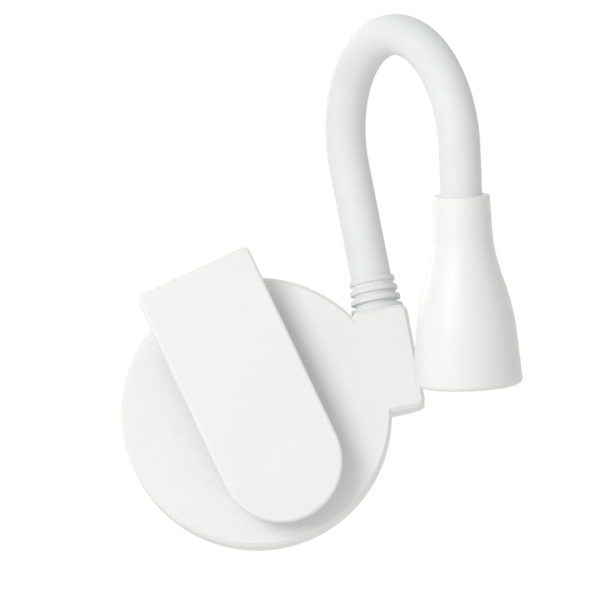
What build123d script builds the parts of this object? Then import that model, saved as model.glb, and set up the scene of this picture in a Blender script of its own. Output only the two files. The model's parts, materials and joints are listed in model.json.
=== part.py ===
from build123d import *
import os
from math import asin, cos, degrees, pi, radians, sin, sqrt, tan

# Clip-on reading light with a bendable neck, at rest with its clip shut. Units are millimetres.
# The origin is on the housing's own axis, in the plane where the two jaws meet.
# +X is to the reader's right, +Y points behind the page and +Z runs up the page to its top edge.
REARWARD = (0, 1, 0)
FORWARD = (0, -1, 0)

# Round housing behind the page
HOUSING_RADIUS = 20.0
HOUSING_DEPTH = 9.0
PLATE_FRONT = 0.6
PLATE_THICK = 1.6
SHELL_WALL = 1.6
BACK_WALL = 1.4
BACK_ROUND = 1.8
PLATE_ROUND = 0.5

# Screws that join the front plate and the rear shell
SCREW_INSET = 3.65
SCREW_ANGLE = 40.0
SCREW_RADIUS = 0.85
SCREW_HEAD_RADIUS = 1.5
SCREW_HEAD_HEIGHT = 1.0
SCREW_HEAD_RECESS = 0.3
SCREW_REACH = 2.8
SCREW_SLOT = 0.4
POST_RADIUS = 1.85
BOSS_RADIUS = 2.3
POST_HEIGHT = 3.8
LOOSE_HOLE = 0.1

# Two coin cells in a round bay, under a bayonet door
CELL_RADIUS = 10.0
CELL_THICK = 1.6
CELL_RIM = 0.3
BAY_HEIGHT = 3.5
BAY_FRONT = 4.0
BAY_WALL = 2.0
CELL_CLEARANCE = 0.3
DOOR_LIP_THICK = 0.8
DOOR_LIP_WIDTH = 1.2
DOOR_THICK = 0.9
DOOR_RECESS = 0.15
DOOR_PLAY = 0.15
TAB_GROOVE = 0.5
TAB_THICK = 0.35
TAB_REACH = 0.8
TAB_WIDTH = 3.0
TAB_COUNT = 3
DOOR_TURN_ANGLE = 30.0
COIN_SLOT_LENGTH = 10.0
COIN_SLOT_WIDTH = 1.8
COIN_SLOT_DEPTH = 0.5
DOOR_CHAMFER = 0.2

# Circuit board, switch and contacts under the battery bay
BOARD_FRONT = 3.9
BOARD_THICK = 0.8
BOARD_GAP = 1.0
BOARD_SIDE_GAP = 0.4
STANDOFF_INSET = 2.3
STANDOFF_DROP = 2.7
STANDOFF_RADIUS = 1.2
STRIP_THICK = 0.3
STRIP_WIDTH = 4.0
STRIP_FOOT = 1.4
PEDESTAL_RADIUS = 4.0
RISER_WIDTH = 3.0
RISER_PLAY = 0.3
DIMPLE_RADIUS = 1.6
TONGUE_WIDTH = 1.6
TONGUE_HEIGHT = 0.8
SWITCH_DROP = 3.7
SWITCH_LENGTH = 7.0
SWITCH_WIDTH = 3.0
SWITCH_HEIGHT = 2.4
SWITCH_STROKE = 3.0
STEM_SIZE = 1.2
STEM_DEPTH = 1.4
STEM_PLAY = 0.1
KNOB_LENGTH = 3.6
KNOB_WIDTH = 2.4
KNOB_RECESS = 0.1
KNOB_PLAY = 0.15
KNOB_FLANGE = 0.25
KNOB_OVERLAP = 0.5
KNOB_RIDGES = 3
RIDGE_GROOVE = 0.4
POCKET_MARGIN = 1.2
POCKET_DEPTH = 0.5
RESISTOR_LENGTH = 2.0
RESISTOR_WIDTH = 1.25
RESISTOR_HEIGHT = 0.55
RESISTOR_INSET = 3.9
RESISTOR_CHAMFER = 0.1

# Sprung paddle in front of the page
PADDLE_WIDTH = 18.0
PADDLE_RISE = 2.4
TIP_INSET = 2.4
PADDLE_INNER = -2.8
PADDLE_THICK = 1.8
PADDLE_CORNER = 1.0
PADDLE_ROUND = 0.45
PIVOT_Y = -1.1
PIVOT_DROP = 4.0
PIN_RADIUS = 0.7
PIN_RUNNING = 0.05
KNUCKLE_RADIUS = 1.4
LUG_INNER = 4.4
LUG_WIDTH = 1.5
EAR_GAP = 0.3
EAR_WIDTH = 1.6
PAD_HALF_GAP = 0.1
PAD_RADIUS = 6.7
PAD_THICK = 1.5
PAD_SEAT = 0.3
PAD_RIM = 0.9
PAD_GROOVE = 0.8
PAD_GROOVE_DEPTH = 0.3
PAD_PITCH = 2.2
PAD_GROOVES = 5
PLATE_PAD_SEAT = 0.5

# Torsion spring on the hinge pin
WIRE_RADIUS = 0.25
COIL_RADIUS = 1.35
COIL_TURNS = 4.5
COIL_PITCH = 1.24
SPANS_PER_TURN = 4
SAMPLES_PER_TURN = 10
SPRING_FRONT_LEG = 5.0
SPRING_REAR_LEG = 3.0

# Neck: a straight rear leg, one loop and a short front leg, all in one tilted plane
NECK_OFFSET = 1.2
NECK_ROOT_Y = 5.3
NECK_LEAN_ANGLE = 14.3
NECK_TURN_ANGLE = 29.3
REAR_LEG = 28.8
LOOP_RADIUS = 15.8
LOOP_ANGLE = 197.1
FRONT_LEG = 6.7
FIRST_JOINT = 13.0
LAST_JOINT = 3.0
CURL_JOINTS = 6
SLEEVE_RADIUS = 3.0
SLEEVE_BORE = 2.4

# Ball links inside the neck
BALL_RADIUS = 1.8
BALL_RUNNING = 0.05
CUP_RADIUS = 2.3
CUP_ANGLE = 68.0
LINK_SHAFT = 0.9
LEAD_BORE = 0.55
FUNNEL_ANGLE = 55.0
LEAD_RADIUS = 0.25
LEAD_EASE = 0.55

# Barrel of the housing, the ferrule that it holds and the strain relief
BARREL_RADIUS = 4.2
BARREL_BOTTOM = -9.0
BARREL_TOP = 6.5
BARREL_FLOOR = 1.2
BARREL_ROUND = 1.2
BARREL_EDGE = 0.6
FERRULE_BOTTOM = -1.0
FLANGE_RADIUS = 3.6
FLANGE_THICK = 1.2
FERRULE_TOP = 8.0
FERRULE_TAPER = 2.0
BOOT_FLANGE_BOTTOM = 4.2
BOOT_FLANGE_THICK = 1.0
BOOT_WAIST = 3.4
BOOT_SHOULDER = 3.9
BOOT_TOP = 11.6
BOOT_TIP_RADIUS = 3.3
BOOT_GROOVES = 3
BOOT_GROOVE_WIDTH = 0.7
LEAD_PASSAGE = 0.8
LEAD_START_INSET = 1.4
LEAD_START_DROP = 0.8
LEAD_CORNER_INSET = 0.9
LEAD_CORNER_RISE = 3.9
LEAD_ENTRY = -5.5
LEAD_CORNER_RADIUS = 2.5

# Bell-shaped head, measured from the top of its collar along its own axis
HEAD_LENGTH = 27.6
COLLAR_RADIUS = 4.1
COLLAR_LENGTH = 5.5
COLLAR_SWELL = 0.2
COLLAR_ROUND = 0.4
FLARE_END = 20.0
FLARE_RADIUS = 7.3
FLARE_START_PULL = 5.4
FLARE_END_PULL = 6.5
MOUTH_RADIUS = 7.9
RIM_ROUND = 0.8
HEAD_WALL = 1.2
STUB_SHOULDER = 6.5
STUB_FLANGE = 3.4
STUB_FLANGE_THICK = 1.0
THROAT_RADIUS = 3.45
THROAT_END = 9.0
BOARD_SEAT = 12.0
SEAT_LEDGE = 0.4
LED_BOARD_RADIUS = 4.7
LED_BOARD_THICK = 1.0
LED_SIZE = 3.0
LED_THICK = 0.7
LED_DOME = 1.1
LENS_INSET = 3.2
LENS_RADIUS = 6.85
LENS_THICK = 1.2
LENS_CROWN = 0.35
LENS_LEDGE = 0.5
RING_WIDTH = 1.0
RING_THICK = 1.3
RING_SLOPE = 0.5
REFLECTOR_BORE = 2.3
REFLECTOR_WALL = 0.6
REFLECTOR_FLANGE = 0.5
REFLECTOR_MOUTH = 5.5
REFLECTOR_BULGE = 0.7
FIT = 0.05

# Places that follow from the sizes above
PLATE_REAR = PLATE_FRONT + PLATE_THICK
BACK = PLATE_FRONT + HOUSING_DEPTH
CAVITY_END = BACK - BACK_WALL
CAVITY_RADIUS = HOUSING_RADIUS - SHELL_WALL
SCREW_CIRCLE = HOUSING_RADIUS - SCREW_INSET
SCREW_ANGLES = [SCREW_ANGLE, 180 - SCREW_ANGLE, 180 + SCREW_ANGLE, 360 - SCREW_ANGLE]
SCREWS = [(SCREW_CIRCLE * cos(radians(a)), SCREW_CIRCLE * sin(radians(a))) for a in SCREW_ANGLES]
POST_END = PLATE_REAR + POST_HEIGHT
SCREW_SEAT = BACK - SCREW_HEAD_RECESS - SCREW_HEAD_HEIGHT
SCREW_TIP = POST_END - SCREW_REACH
CELL_STACK = BAY_FRONT + 2 * CELL_THICK
BAY_INNER = CELL_RADIUS + CELL_CLEARANCE
BAY_OUTER = BAY_INNER + BAY_WALL
LIP_BORE = BAY_INNER + LOOSE_HOLE
LIP_FRONT = CELL_STACK + TAB_GROOVE
LIP_REAR = LIP_FRONT + DOOR_LIP_THICK
DOOR_OPENING = LIP_BORE + DOOR_LIP_WIDTH
DOOR_RADIUS = DOOR_OPENING - DOOR_PLAY
PLUG_RADIUS = LIP_BORE - DOOR_PLAY
TAB_RADIUS = PLUG_RADIUS + TAB_REACH
DOOR_REAR = BACK - DOOR_RECESS
DOOR_FRONT = DOOR_REAR - DOOR_THICK
TAB_FRONT = LIP_FRONT - FIT - TAB_THICK
TAB_ANGLES = [90 + 360 / TAB_COUNT * i for i in range(TAB_COUNT)]
BOARD_REAR = BOARD_FRONT + BOARD_THICK
BOARD_TOP = BAY_HEIGHT - BAY_OUTER - BOARD_GAP
BOARD_RADIUS = CAVITY_RADIUS - BOARD_GAP
BOARD_HALF_WIDTH = SCREW_CIRCLE * cos(radians(SCREW_ANGLE)) - POST_RADIUS - BOARD_SIDE_GAP
RESISTOR_X = BOARD_HALF_WIDTH - RESISTOR_INSET
LEAD_START = (BOARD_HALF_WIDTH - LEAD_START_INSET, BOARD_TOP - LEAD_START_DROP)
LEAD_CORNER = (SCREWS[-1][0] - LEAD_CORNER_INSET, SCREWS[-1][1] + LEAD_CORNER_RISE)
STANDOFF_X = BOARD_HALF_WIDTH - STANDOFF_INSET
STANDOFF_Z = BOARD_TOP - STANDOFF_DROP
SWITCH_Z = BOARD_TOP - SWITCH_DROP
SWITCH_REAR = BOARD_REAR + SWITCH_HEIGHT
POCKET_FLOOR = BACK - POCKET_DEPTH
KNOB_REST_X = -SWITCH_STROKE / 2
PIVOT_Z = HOUSING_RADIUS - PIVOT_DROP
PADDLE_TOP = HOUSING_RADIUS + PADDLE_RISE
PADDLE_PAD_BACK = -PAD_HALF_GAP - PAD_THICK
TIP_RADIUS = PADDLE_WIDTH / 2
TIP_CENTRE = TIP_INSET + TIP_RADIUS - HOUSING_RADIUS
EAR_INNER = LUG_INNER + LUG_WIDTH + EAR_GAP
EAR_OUTER = EAR_INNER + EAR_WIDTH
NECK_ROOT = Vector(HOUSING_RADIUS + NECK_OFFSET, NECK_ROOT_Y, 0)
NECK_UP = Vector(sin(radians(NECK_LEAN_ANGLE)), 0, cos(radians(NECK_LEAN_ANGLE)))
NECK_SIDE = Vector(cos(radians(NECK_LEAN_ANGLE)), 0, -sin(radians(NECK_LEAN_ANGLE)))
NECK_OUT = Vector(*FORWARD) * cos(radians(NECK_TURN_ANGLE)) + NECK_SIDE * sin(radians(NECK_TURN_ANGLE))
NECK_HINGE = NECK_UP.cross(NECK_OUT)
LOOP_CENTRE = NECK_ROOT + NECK_UP * REAR_LEG + NECK_OUT * LOOP_RADIUS
LOOP_STEP = LOOP_ANGLE / CURL_JOINTS
LENS_SEAT = HEAD_LENGTH - LENS_INSET


def at_depth(y):
    """Sketch plane across the housing's axis at depth y, seen with X right and Z up."""
    return Plane.XZ.offset(-y)


def on_neck(distance):
    """Point of the neck's straight rear leg, measured from the root."""
    return NECK_ROOT + NECK_UP * distance


def loop_point(angle):
    """Point of the loop's centreline, in degrees from the top of the rear leg."""
    turn = radians(angle)
    return LOOP_CENTRE + (NECK_UP * sin(turn) - NECK_OUT * cos(turn)) * LOOP_RADIUS


def loop_heading(angle):
    """Direction of the loop's centreline at an angle."""
    turn = radians(angle)
    return NECK_OUT * sin(turn) + NECK_UP * cos(turn)


def across(origin, heading):
    """Sketch plane square to a heading."""
    return Plane(origin=origin, x_dir=NECK_HINGE, z_dir=heading)


def lengthwise(origin, heading):
    """Half-section plane of a turned piece: X is its radius and Y runs along its axis."""
    return Plane(origin=origin, x_dir=NECK_HINGE, z_dir=NECK_HINGE.cross(heading))


def on_sphere(radius, angle, height=0.0):
    """Radius and height of a point on a sphere, in degrees from the axis."""
    return (radius * sin(radians(angle)), height + radius * cos(radians(angle)))


HEAD_AXIS = loop_heading(LOOP_ANGLE)
COLLAR_TOP = loop_point(LOOP_ANGLE) + HEAD_AXIS * FRONT_LEG
JOINTS = [on_neck(FIRST_JOINT)]
JOINTS += [loop_point(LOOP_STEP * (i + 0.5)) for i in range(CURL_JOINTS)]
JOINTS += [COLLAR_TOP - HEAD_AXIS * LAST_JOINT]
CHORDS = [(b - a).normalized() for a, b in zip(JOINTS, JOINTS[1:])]
HEADINGS = [NECK_UP] + CHORDS + [HEAD_AXIS]


# Cover: the front plate's flat tab over the barrel
with BuildPart() as barrel_cover:
    cover_middle = on_neck((BARREL_BOTTOM + BARREL_TOP) / 2)
    with BuildSketch(at_depth(PLATE_FRONT)):
        with Locations(Location((cover_middle.X, cover_middle.Z, 0), (0, 0, -NECK_LEAN_ANGLE))):
            RectangleRounded(2 * BARREL_RADIUS, BARREL_TOP - BARREL_BOTTOM, BARREL_ROUND)
    extrude(amount=PLATE_THICK, dir=REARWARD)
    chamfer(barrel_cover.edges().group_by(Axis.Y)[0], PLATE_ROUND)

# Space that the neck's root takes in both halves of the barrel: bore, flange seats and mouth
with BuildPart() as neck_seats:
    seats = [(SLEEVE_RADIUS, BARREL_BOTTOM + BARREL_FLOOR, BOOT_FLANGE_BOTTOM)]
    seats += [(FLANGE_RADIUS, FERRULE_BOTTOM, FERRULE_BOTTOM + FLANGE_THICK)]
    seats += [(FLANGE_RADIUS, BOOT_FLANGE_BOTTOM, BOOT_FLANGE_BOTTOM + BOOT_FLANGE_THICK)]
    seats += [(BOOT_WAIST, BOOT_FLANGE_BOTTOM, BARREL_TOP)]
    for radius, bottom, top in seats:
        with BuildSketch(across(on_neck(bottom), NECK_UP)):
            Circle(radius)
        extrude(amount=top - bottom)

# Barrel: a rounded cylinder along the neck's root, cut flat where it meets the front plate
with BuildPart() as barrel:
    with BuildSketch(across(on_neck(BARREL_BOTTOM), NECK_UP)):
        Circle(BARREL_RADIUS)
    extrude(amount=BARREL_TOP - BARREL_BOTTOM)
    fillet(barrel.edges().filter_by(GeomType.CIRCLE), BARREL_EDGE)
    split(bisect_by=at_depth(PLATE_REAR), keep=Keep.BOTTOM)

# Front plate: the fixed jaw, with the hinge ears, screw posts and board standoffs
with BuildPart() as front_plate:
    with BuildSketch(at_depth(PLATE_FRONT)):
        Circle(HOUSING_RADIUS)
    extrude(amount=PLATE_THICK, dir=REARWARD)
    chamfer(front_plate.edges().group_by(Axis.Y)[0], PLATE_ROUND)
    add(barrel_cover.part)
    with BuildSketch(at_depth(PLATE_FRONT)):
        with Locations((0, TIP_CENTRE)):
            Circle(PAD_RADIUS)
    extrude(amount=PLATE_PAD_SEAT, dir=REARWARD, mode=Mode.SUBTRACT)
    with BuildSketch(at_depth(PLATE_REAR)):
        with Locations(*SCREWS):
            Circle(POST_RADIUS)
            Circle(SCREW_RADIUS, mode=Mode.SUBTRACT)
    extrude(amount=POST_HEIGHT, dir=REARWARD)
    with BuildSketch(at_depth(PLATE_REAR)):
        with Locations((-STANDOFF_X, STANDOFF_Z), (STANDOFF_X, STANDOFF_Z)):
            Circle(STANDOFF_RADIUS)
    extrude(amount=BOARD_FRONT - PLATE_REAR, dir=REARWARD)
    with BuildSketch(at_depth(PLATE_REAR)):
        with Locations((0, BAY_HEIGHT)):
            Circle(PEDESTAL_RADIUS)
    extrude(amount=BOARD_FRONT - STRIP_THICK - PLATE_REAR, dir=REARWARD)
    for side in (-1, 1):
        with BuildSketch(Plane.YZ.offset(side * EAR_INNER)):
            with Locations((PIVOT_Y, PIVOT_Z)):
                Circle(KNUCKLE_RADIUS)
            with Locations(((PIVOT_Y + PLATE_FRONT) / 2, PIVOT_Z)):
                Rectangle(PLATE_FRONT - PIVOT_Y, 2 * KNUCKLE_RADIUS)
            with Locations((PIVOT_Y, PIVOT_Z)):
                Circle(PIN_RADIUS, mode=Mode.SUBTRACT)
        extrude(amount=side * EAR_WIDTH)
    add(neck_seats.part, mode=Mode.SUBTRACT)

# Rear shell: a cup with the battery bay, the screw bosses, the switch window and the neck barrel
with BuildPart() as rear_shell:
    with BuildSketch(at_depth(PLATE_REAR)):
        Circle(HOUSING_RADIUS)
    extrude(amount=BACK - PLATE_REAR, dir=REARWARD)
    fillet(rear_shell.edges().group_by(Axis.Y)[-1], BACK_ROUND)
    with BuildSketch(at_depth(PLATE_REAR)):
        Circle(CAVITY_RADIUS)
    extrude(amount=CAVITY_END - PLATE_REAR, dir=REARWARD, mode=Mode.SUBTRACT)
    add(barrel.part)
    with BuildSketch(at_depth(POST_END)):
        with Locations(*SCREWS):
            Circle(BOSS_RADIUS)
    extrude(amount=CAVITY_END - POST_END, dir=REARWARD)
    with BuildSketch(at_depth(BAY_FRONT)):
        with Locations((0, BAY_HEIGHT)):
            Circle(BAY_OUTER)
    extrude(amount=CAVITY_END - BAY_FRONT, dir=REARWARD)
    bay_bores = [(BAY_INNER, BAY_FRONT, CELL_STACK), (TAB_RADIUS + DOOR_PLAY, CELL_STACK, LIP_FRONT)]
    bay_bores += [(LIP_BORE, LIP_FRONT, LIP_REAR), (DOOR_OPENING, LIP_REAR, BACK)]
    for radius, front, rear in bay_bores:
        with BuildSketch(at_depth(front)):
            with Locations((0, BAY_HEIGHT)):
                Circle(radius)
        extrude(amount=rear - front, dir=REARWARD, mode=Mode.SUBTRACT)
    with BuildSketch(at_depth(LIP_FRONT)):
        for angle in TAB_ANGLES:
            with Locations(Location((0, BAY_HEIGHT, 0), (0, 0, angle - DOOR_TURN_ANGLE))):
                with Locations((PLUG_RADIUS, 0)):
                    Rectangle(2 * (TAB_REACH + DOOR_PLAY), TAB_WIDTH + 2 * DOOR_PLAY)
    extrude(amount=DOOR_LIP_THICK, dir=REARWARD, mode=Mode.SUBTRACT)
    with BuildSketch(at_depth(BAY_FRONT)):
        with Locations((0, BAY_HEIGHT - BAY_OUTER)):
            Rectangle(RISER_WIDTH + 2 * RISER_PLAY, 2 * (BAY_OUTER - CELL_RADIUS + RISER_PLAY))
    extrude(amount=CELL_STACK - BAY_FRONT, dir=REARWARD, mode=Mode.SUBTRACT)
    with BuildSketch(at_depth(POCKET_FLOOR)):
        with Locations((0, SWITCH_Z)):
            SlotOverall(KNOB_LENGTH + SWITCH_STROKE + 2 * POCKET_MARGIN, KNOB_WIDTH + 2 * POCKET_MARGIN)
    extrude(amount=POCKET_DEPTH, dir=REARWARD, mode=Mode.SUBTRACT)
    with BuildSketch(at_depth(CAVITY_END)):
        with Locations((0, SWITCH_Z)):
            Rectangle(KNOB_LENGTH + SWITCH_STROKE + 2 * KNOB_PLAY, KNOB_WIDTH + 2 * KNOB_PLAY)
    extrude(amount=BACK_WALL, dir=REARWARD, mode=Mode.SUBTRACT)
    with BuildSketch(at_depth(POST_END)):
        with Locations(*SCREWS):
            Circle(SCREW_RADIUS + LOOSE_HOLE)
    extrude(amount=BACK - POST_END, dir=REARWARD, mode=Mode.SUBTRACT)
    with BuildSketch(at_depth(SCREW_SEAT)):
        with Locations(*SCREWS):
            Circle(SCREW_HEAD_RADIUS + LOOSE_HOLE)
    extrude(amount=BACK - SCREW_SEAT, dir=REARWARD, mode=Mode.SUBTRACT)
    with BuildSketch(at_depth(PLATE_REAR)):
        with Locations(*SCREWS):
            Circle(POST_RADIUS + LOOSE_HOLE)
    extrude(amount=POST_END - PLATE_REAR, dir=REARWARD, mode=Mode.SUBTRACT)
    add(neck_seats.part, mode=Mode.SUBTRACT)
    lead_corner = Vector(LEAD_CORNER[0], NECK_ROOT_Y, LEAD_CORNER[1])
    lead_entry = on_neck(LEAD_ENTRY)
    with BuildSketch(Plane(origin=lead_corner, z_dir=lead_entry - lead_corner)):
        Circle(LEAD_PASSAGE)
    extrude(amount=(lead_entry - lead_corner).length, mode=Mode.SUBTRACT)

# Four slotted screws, driven from the back
with BuildPart() as housing_screws:
    with BuildSketch(at_depth(SCREW_TIP)):
        with Locations(*SCREWS):
            Circle(SCREW_RADIUS)
    extrude(amount=SCREW_SEAT - SCREW_TIP, dir=REARWARD)
    with BuildSketch(at_depth(SCREW_SEAT)):
        with Locations(*SCREWS):
            Circle(SCREW_HEAD_RADIUS)
    extrude(amount=SCREW_HEAD_HEIGHT, dir=REARWARD)
    with BuildSketch(at_depth(SCREW_SEAT + SCREW_HEAD_HEIGHT)):
        with Locations(*SCREWS):
            Rectangle(2 * SCREW_HEAD_RADIUS, SCREW_SLOT)
    extrude(amount=SCREW_SLOT, dir=FORWARD, mode=Mode.SUBTRACT)


# Coin cells, each a can with its smaller negative cap towards the front
def coin_cell(front):
    """One coin cell whose negative cap starts at a depth."""
    with BuildPart() as cell:
        with BuildSketch(at_depth(front)):
            with Locations((0, BAY_HEIGHT)):
                Circle(CELL_RADIUS - 2 * CELL_RIM)
        extrude(amount=CELL_RIM, dir=REARWARD)
        with BuildSketch(at_depth(front + CELL_RIM)):
            with Locations((0, BAY_HEIGHT)):
                Circle(CELL_RADIUS)
        extrude(amount=CELL_THICK - CELL_RIM, dir=REARWARD)
    return cell


coin_cell_front = coin_cell(BAY_FRONT)
coin_cell_rear = coin_cell(BAY_FRONT + CELL_THICK)

# Battery door: a disc on a plug with bayonet tabs, and a slot for a coin
with BuildPart() as battery_door:
    for radius, front, rear in [(DOOR_RADIUS, DOOR_FRONT, DOOR_REAR), (PLUG_RADIUS, TAB_FRONT, DOOR_FRONT)]:
        with BuildSketch(at_depth(front)):
            with Locations((0, BAY_HEIGHT)):
                Circle(radius)
        extrude(amount=rear - front, dir=REARWARD)
    chamfer(battery_door.edges().group_by(Axis.Y)[-1], DOOR_CHAMFER)
    with BuildSketch(at_depth(TAB_FRONT)):
        for angle in TAB_ANGLES:
            with Locations(Location((0, BAY_HEIGHT, 0), (0, 0, angle))):
                with Locations((TAB_RADIUS / 2, 0)):
                    Rectangle(TAB_RADIUS, TAB_WIDTH)
        with Locations((0, BAY_HEIGHT)):
            Circle(TAB_RADIUS, mode=Mode.INTERSECT)
    extrude(amount=TAB_THICK, dir=REARWARD)
    with BuildSketch(at_depth(DOOR_REAR)):
        with Locations((0, BAY_HEIGHT)):
            SlotOverall(COIN_SLOT_LENGTH, COIN_SLOT_WIDTH)
    extrude(amount=COIN_SLOT_DEPTH, dir=FORWARD, mode=Mode.SUBTRACT)

# Negative contact: a strip from the front cell's cap down to the board
with BuildPart() as negative_contact:
    strip_bottom = BOARD_TOP - STRIP_FOOT
    with BuildSketch(at_depth(BOARD_FRONT)):
        with Locations((0, (BAY_HEIGHT + strip_bottom) / 2)):
            SlotOverall(BAY_HEIGHT - strip_bottom + STRIP_WIDTH, STRIP_WIDTH, rotation=90)
    extrude(amount=STRIP_THICK, dir=FORWARD)
    with BuildSketch(at_depth(BOARD_FRONT)):
        with Locations((0, BAY_HEIGHT)):
            Circle(DIMPLE_RADIUS)
    extrude(amount=BAY_FRONT - BOARD_FRONT, dir=REARWARD)

# Positive contact: a foot on the board, a riser in the bay's notch and a tongue on the rear cell
with BuildPart() as positive_contact:
    cell_bottom = BAY_HEIGHT - CELL_RADIUS
    riser_top = cell_bottom - RISER_PLAY
    foot_bottom = BOARD_TOP - STRIP_FOOT
    with BuildSketch(at_depth(BOARD_REAR)):
        with Locations((0, (riser_top + foot_bottom) / 2)):
            Rectangle(RISER_WIDTH, riser_top - foot_bottom)
    extrude(amount=STRIP_THICK, dir=REARWARD)
    with BuildSketch(at_depth(BOARD_REAR)):
        with Locations((0, riser_top - STRIP_THICK / 2)):
            Rectangle(RISER_WIDTH, STRIP_THICK)
    extrude(amount=CELL_STACK - RISER_PLAY - BOARD_REAR, dir=REARWARD)
    with BuildSketch(at_depth(CELL_STACK - CELL_THICK / 2)):
        with Locations((0, (riser_top + cell_bottom) / 2)):
            Rectangle(TONGUE_WIDTH, cell_bottom - riser_top)
    extrude(amount=TONGUE_HEIGHT / 2, both=True)

# Circuit board: the part of a disc that lies between the lower screw posts
with BuildPart() as circuit_board:
    with BuildSketch(at_depth(BOARD_FRONT)):
        Circle(BOARD_RADIUS)
        with Locations((0, BOARD_TOP - BOARD_RADIUS)):
            Rectangle(2 * BOARD_HALF_WIDTH, 2 * BOARD_RADIUS, mode=Mode.INTERSECT)
    extrude(amount=BOARD_THICK, dir=REARWARD)

# Slide switch: a can with a window for the knob's stem
with BuildPart() as switch_body:
    with BuildSketch(at_depth(BOARD_REAR)):
        with Locations((0, SWITCH_Z)):
            Rectangle(SWITCH_LENGTH, SWITCH_WIDTH)
    extrude(amount=SWITCH_HEIGHT, dir=REARWARD)
    with BuildSketch(at_depth(SWITCH_REAR)):
        with Locations((0, SWITCH_Z)):
            Rectangle(STEM_SIZE + SWITCH_STROKE + 2 * STEM_PLAY, STEM_SIZE + 2 * STEM_PLAY)
    extrude(amount=STEM_DEPTH + STEM_PLAY, dir=FORWARD, mode=Mode.SUBTRACT)

# Switch knob: a stem in the switch, a flange behind the window and a ridged grip
with BuildPart() as switch_knob:
    flange_rear = CAVITY_END - KNOB_PLAY
    flange_length = KNOB_LENGTH + 2 * SWITCH_STROKE + 2 * KNOB_OVERLAP
    flange_width = KNOB_WIDTH + 2 * KNOB_OVERLAP
    knob_steps = [(STEM_SIZE, STEM_SIZE, SWITCH_REAR - STEM_DEPTH, flange_rear)]
    knob_steps += [(flange_length, flange_width, flange_rear - KNOB_FLANGE, flange_rear)]
    knob_steps += [(KNOB_LENGTH, KNOB_WIDTH, flange_rear, BACK - KNOB_RECESS)]
    for length, width, front, rear in knob_steps:
        with BuildSketch(at_depth(front)):
            with Locations((KNOB_REST_X, SWITCH_Z)):
                Rectangle(length, width)
        extrude(amount=rear - front, dir=REARWARD)
    with BuildSketch(at_depth(BACK - KNOB_RECESS)):
        with Locations((KNOB_REST_X, SWITCH_Z)):
            with GridLocations(KNOB_LENGTH / KNOB_RIDGES, 0, KNOB_RIDGES, 1):
                Rectangle(RIDGE_GROOVE, KNOB_WIDTH)
    extrude(amount=RIDGE_GROOVE, dir=FORWARD, mode=Mode.SUBTRACT)

# Resistor that limits the lamp's current
with BuildPart() as led_resistor:
    with BuildSketch(at_depth(BOARD_REAR)):
        with Locations((RESISTOR_X, SWITCH_Z)):
            Rectangle(RESISTOR_LENGTH, RESISTOR_WIDTH)
    extrude(amount=RESISTOR_HEIGHT, dir=REARWARD)
    chamfer(led_resistor.edges().group_by(Axis.Y)[-1], RESISTOR_CHAMFER)


# Grip pads: two grooved discs that meet across the page
def grip_pad(face, back):
    """One silicone disc between its gripping face and its back, grooved on the face."""
    into = REARWARD if back > face else FORWARD
    with BuildPart() as pad:
        with BuildSketch(at_depth(face)):
            with Locations((0, TIP_CENTRE)):
                Circle(PAD_RADIUS)
        extrude(amount=abs(back - face), dir=into)
        with BuildSketch(at_depth(face)):
            with Locations((0, TIP_CENTRE)):
                with GridLocations(0, PAD_PITCH, 1, PAD_GROOVES):
                    Rectangle(2 * PAD_RADIUS, PAD_GROOVE)
        extrude(amount=PAD_GROOVE_DEPTH, dir=into, mode=Mode.SUBTRACT)
    return pad


plate_grip_pad = grip_pad(PAD_HALF_GAP, PLATE_FRONT + PLATE_PAD_SEAT)
paddle_grip_pad = grip_pad(-PAD_HALF_GAP, PADDLE_PAD_BACK)

# Paddle: a flat tongue with a round end, two lugs on the hinge pin and a foot for its pad
with BuildPart() as clip_paddle:
    with BuildSketch(at_depth(PADDLE_INNER)) as tongue:
        with Locations((0, (PADDLE_TOP + TIP_CENTRE) / 2)):
            Rectangle(PADDLE_WIDTH, PADDLE_TOP - TIP_CENTRE)
        fillet(tongue.vertices().group_by(Axis.Y)[-1], PADDLE_CORNER)
        with Locations((0, TIP_CENTRE)):
            Circle(TIP_RADIUS)
    extrude(amount=PADDLE_THICK, dir=FORWARD)
    fillet(clip_paddle.edges().group_by(Axis.Y)[0], PADDLE_ROUND)
    with BuildSketch(at_depth(PADDLE_INNER)):
        with Locations((0, TIP_CENTRE)):
            Circle(PAD_RADIUS + PAD_RIM)
    extrude(amount=PADDLE_PAD_BACK + PAD_SEAT - PADDLE_INNER, dir=REARWARD)
    with BuildSketch(at_depth(PADDLE_PAD_BACK)):
        with Locations((0, TIP_CENTRE)):
            Circle(PAD_RADIUS)
    extrude(amount=PAD_SEAT, dir=REARWARD, mode=Mode.SUBTRACT)
    for side in (-1, 1):
        with BuildSketch(Plane.YZ.offset(side * LUG_INNER)):
            with Locations((PIVOT_Y, PIVOT_Z)):
                Circle(KNUCKLE_RADIUS)
            with Locations(((PIVOT_Y + PADDLE_INNER) / 2, PIVOT_Z)):
                Rectangle(PIVOT_Y - PADDLE_INNER, 2 * KNUCKLE_RADIUS)
            with Locations((PIVOT_Y, PIVOT_Z)):
                Circle(PIN_RADIUS + PIN_RUNNING, mode=Mode.SUBTRACT)
        extrude(amount=side * LUG_WIDTH)

# Hinge pin, pressed into the ears and free in the lugs
with BuildPart() as hinge_pin:
    with BuildSketch(Plane.YZ):
        with Locations((PIVOT_Y, PIVOT_Z)):
            Circle(PIN_RADIUS)
    extrude(amount=EAR_OUTER, both=True)


# Torsion spring: one wire, from its leg on the paddle round the pin to its leg on the front plate
def coil_point(turn):
    """Centre of the wire after a number of turns from the paddle's side."""
    angle = pi + 2 * pi * turn
    x = COIL_PITCH * (turn - COIL_TURNS / 2)
    return Vector(x, PIVOT_Y + COIL_RADIUS * cos(angle), PIVOT_Z + COIL_RADIUS * sin(angle))


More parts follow.
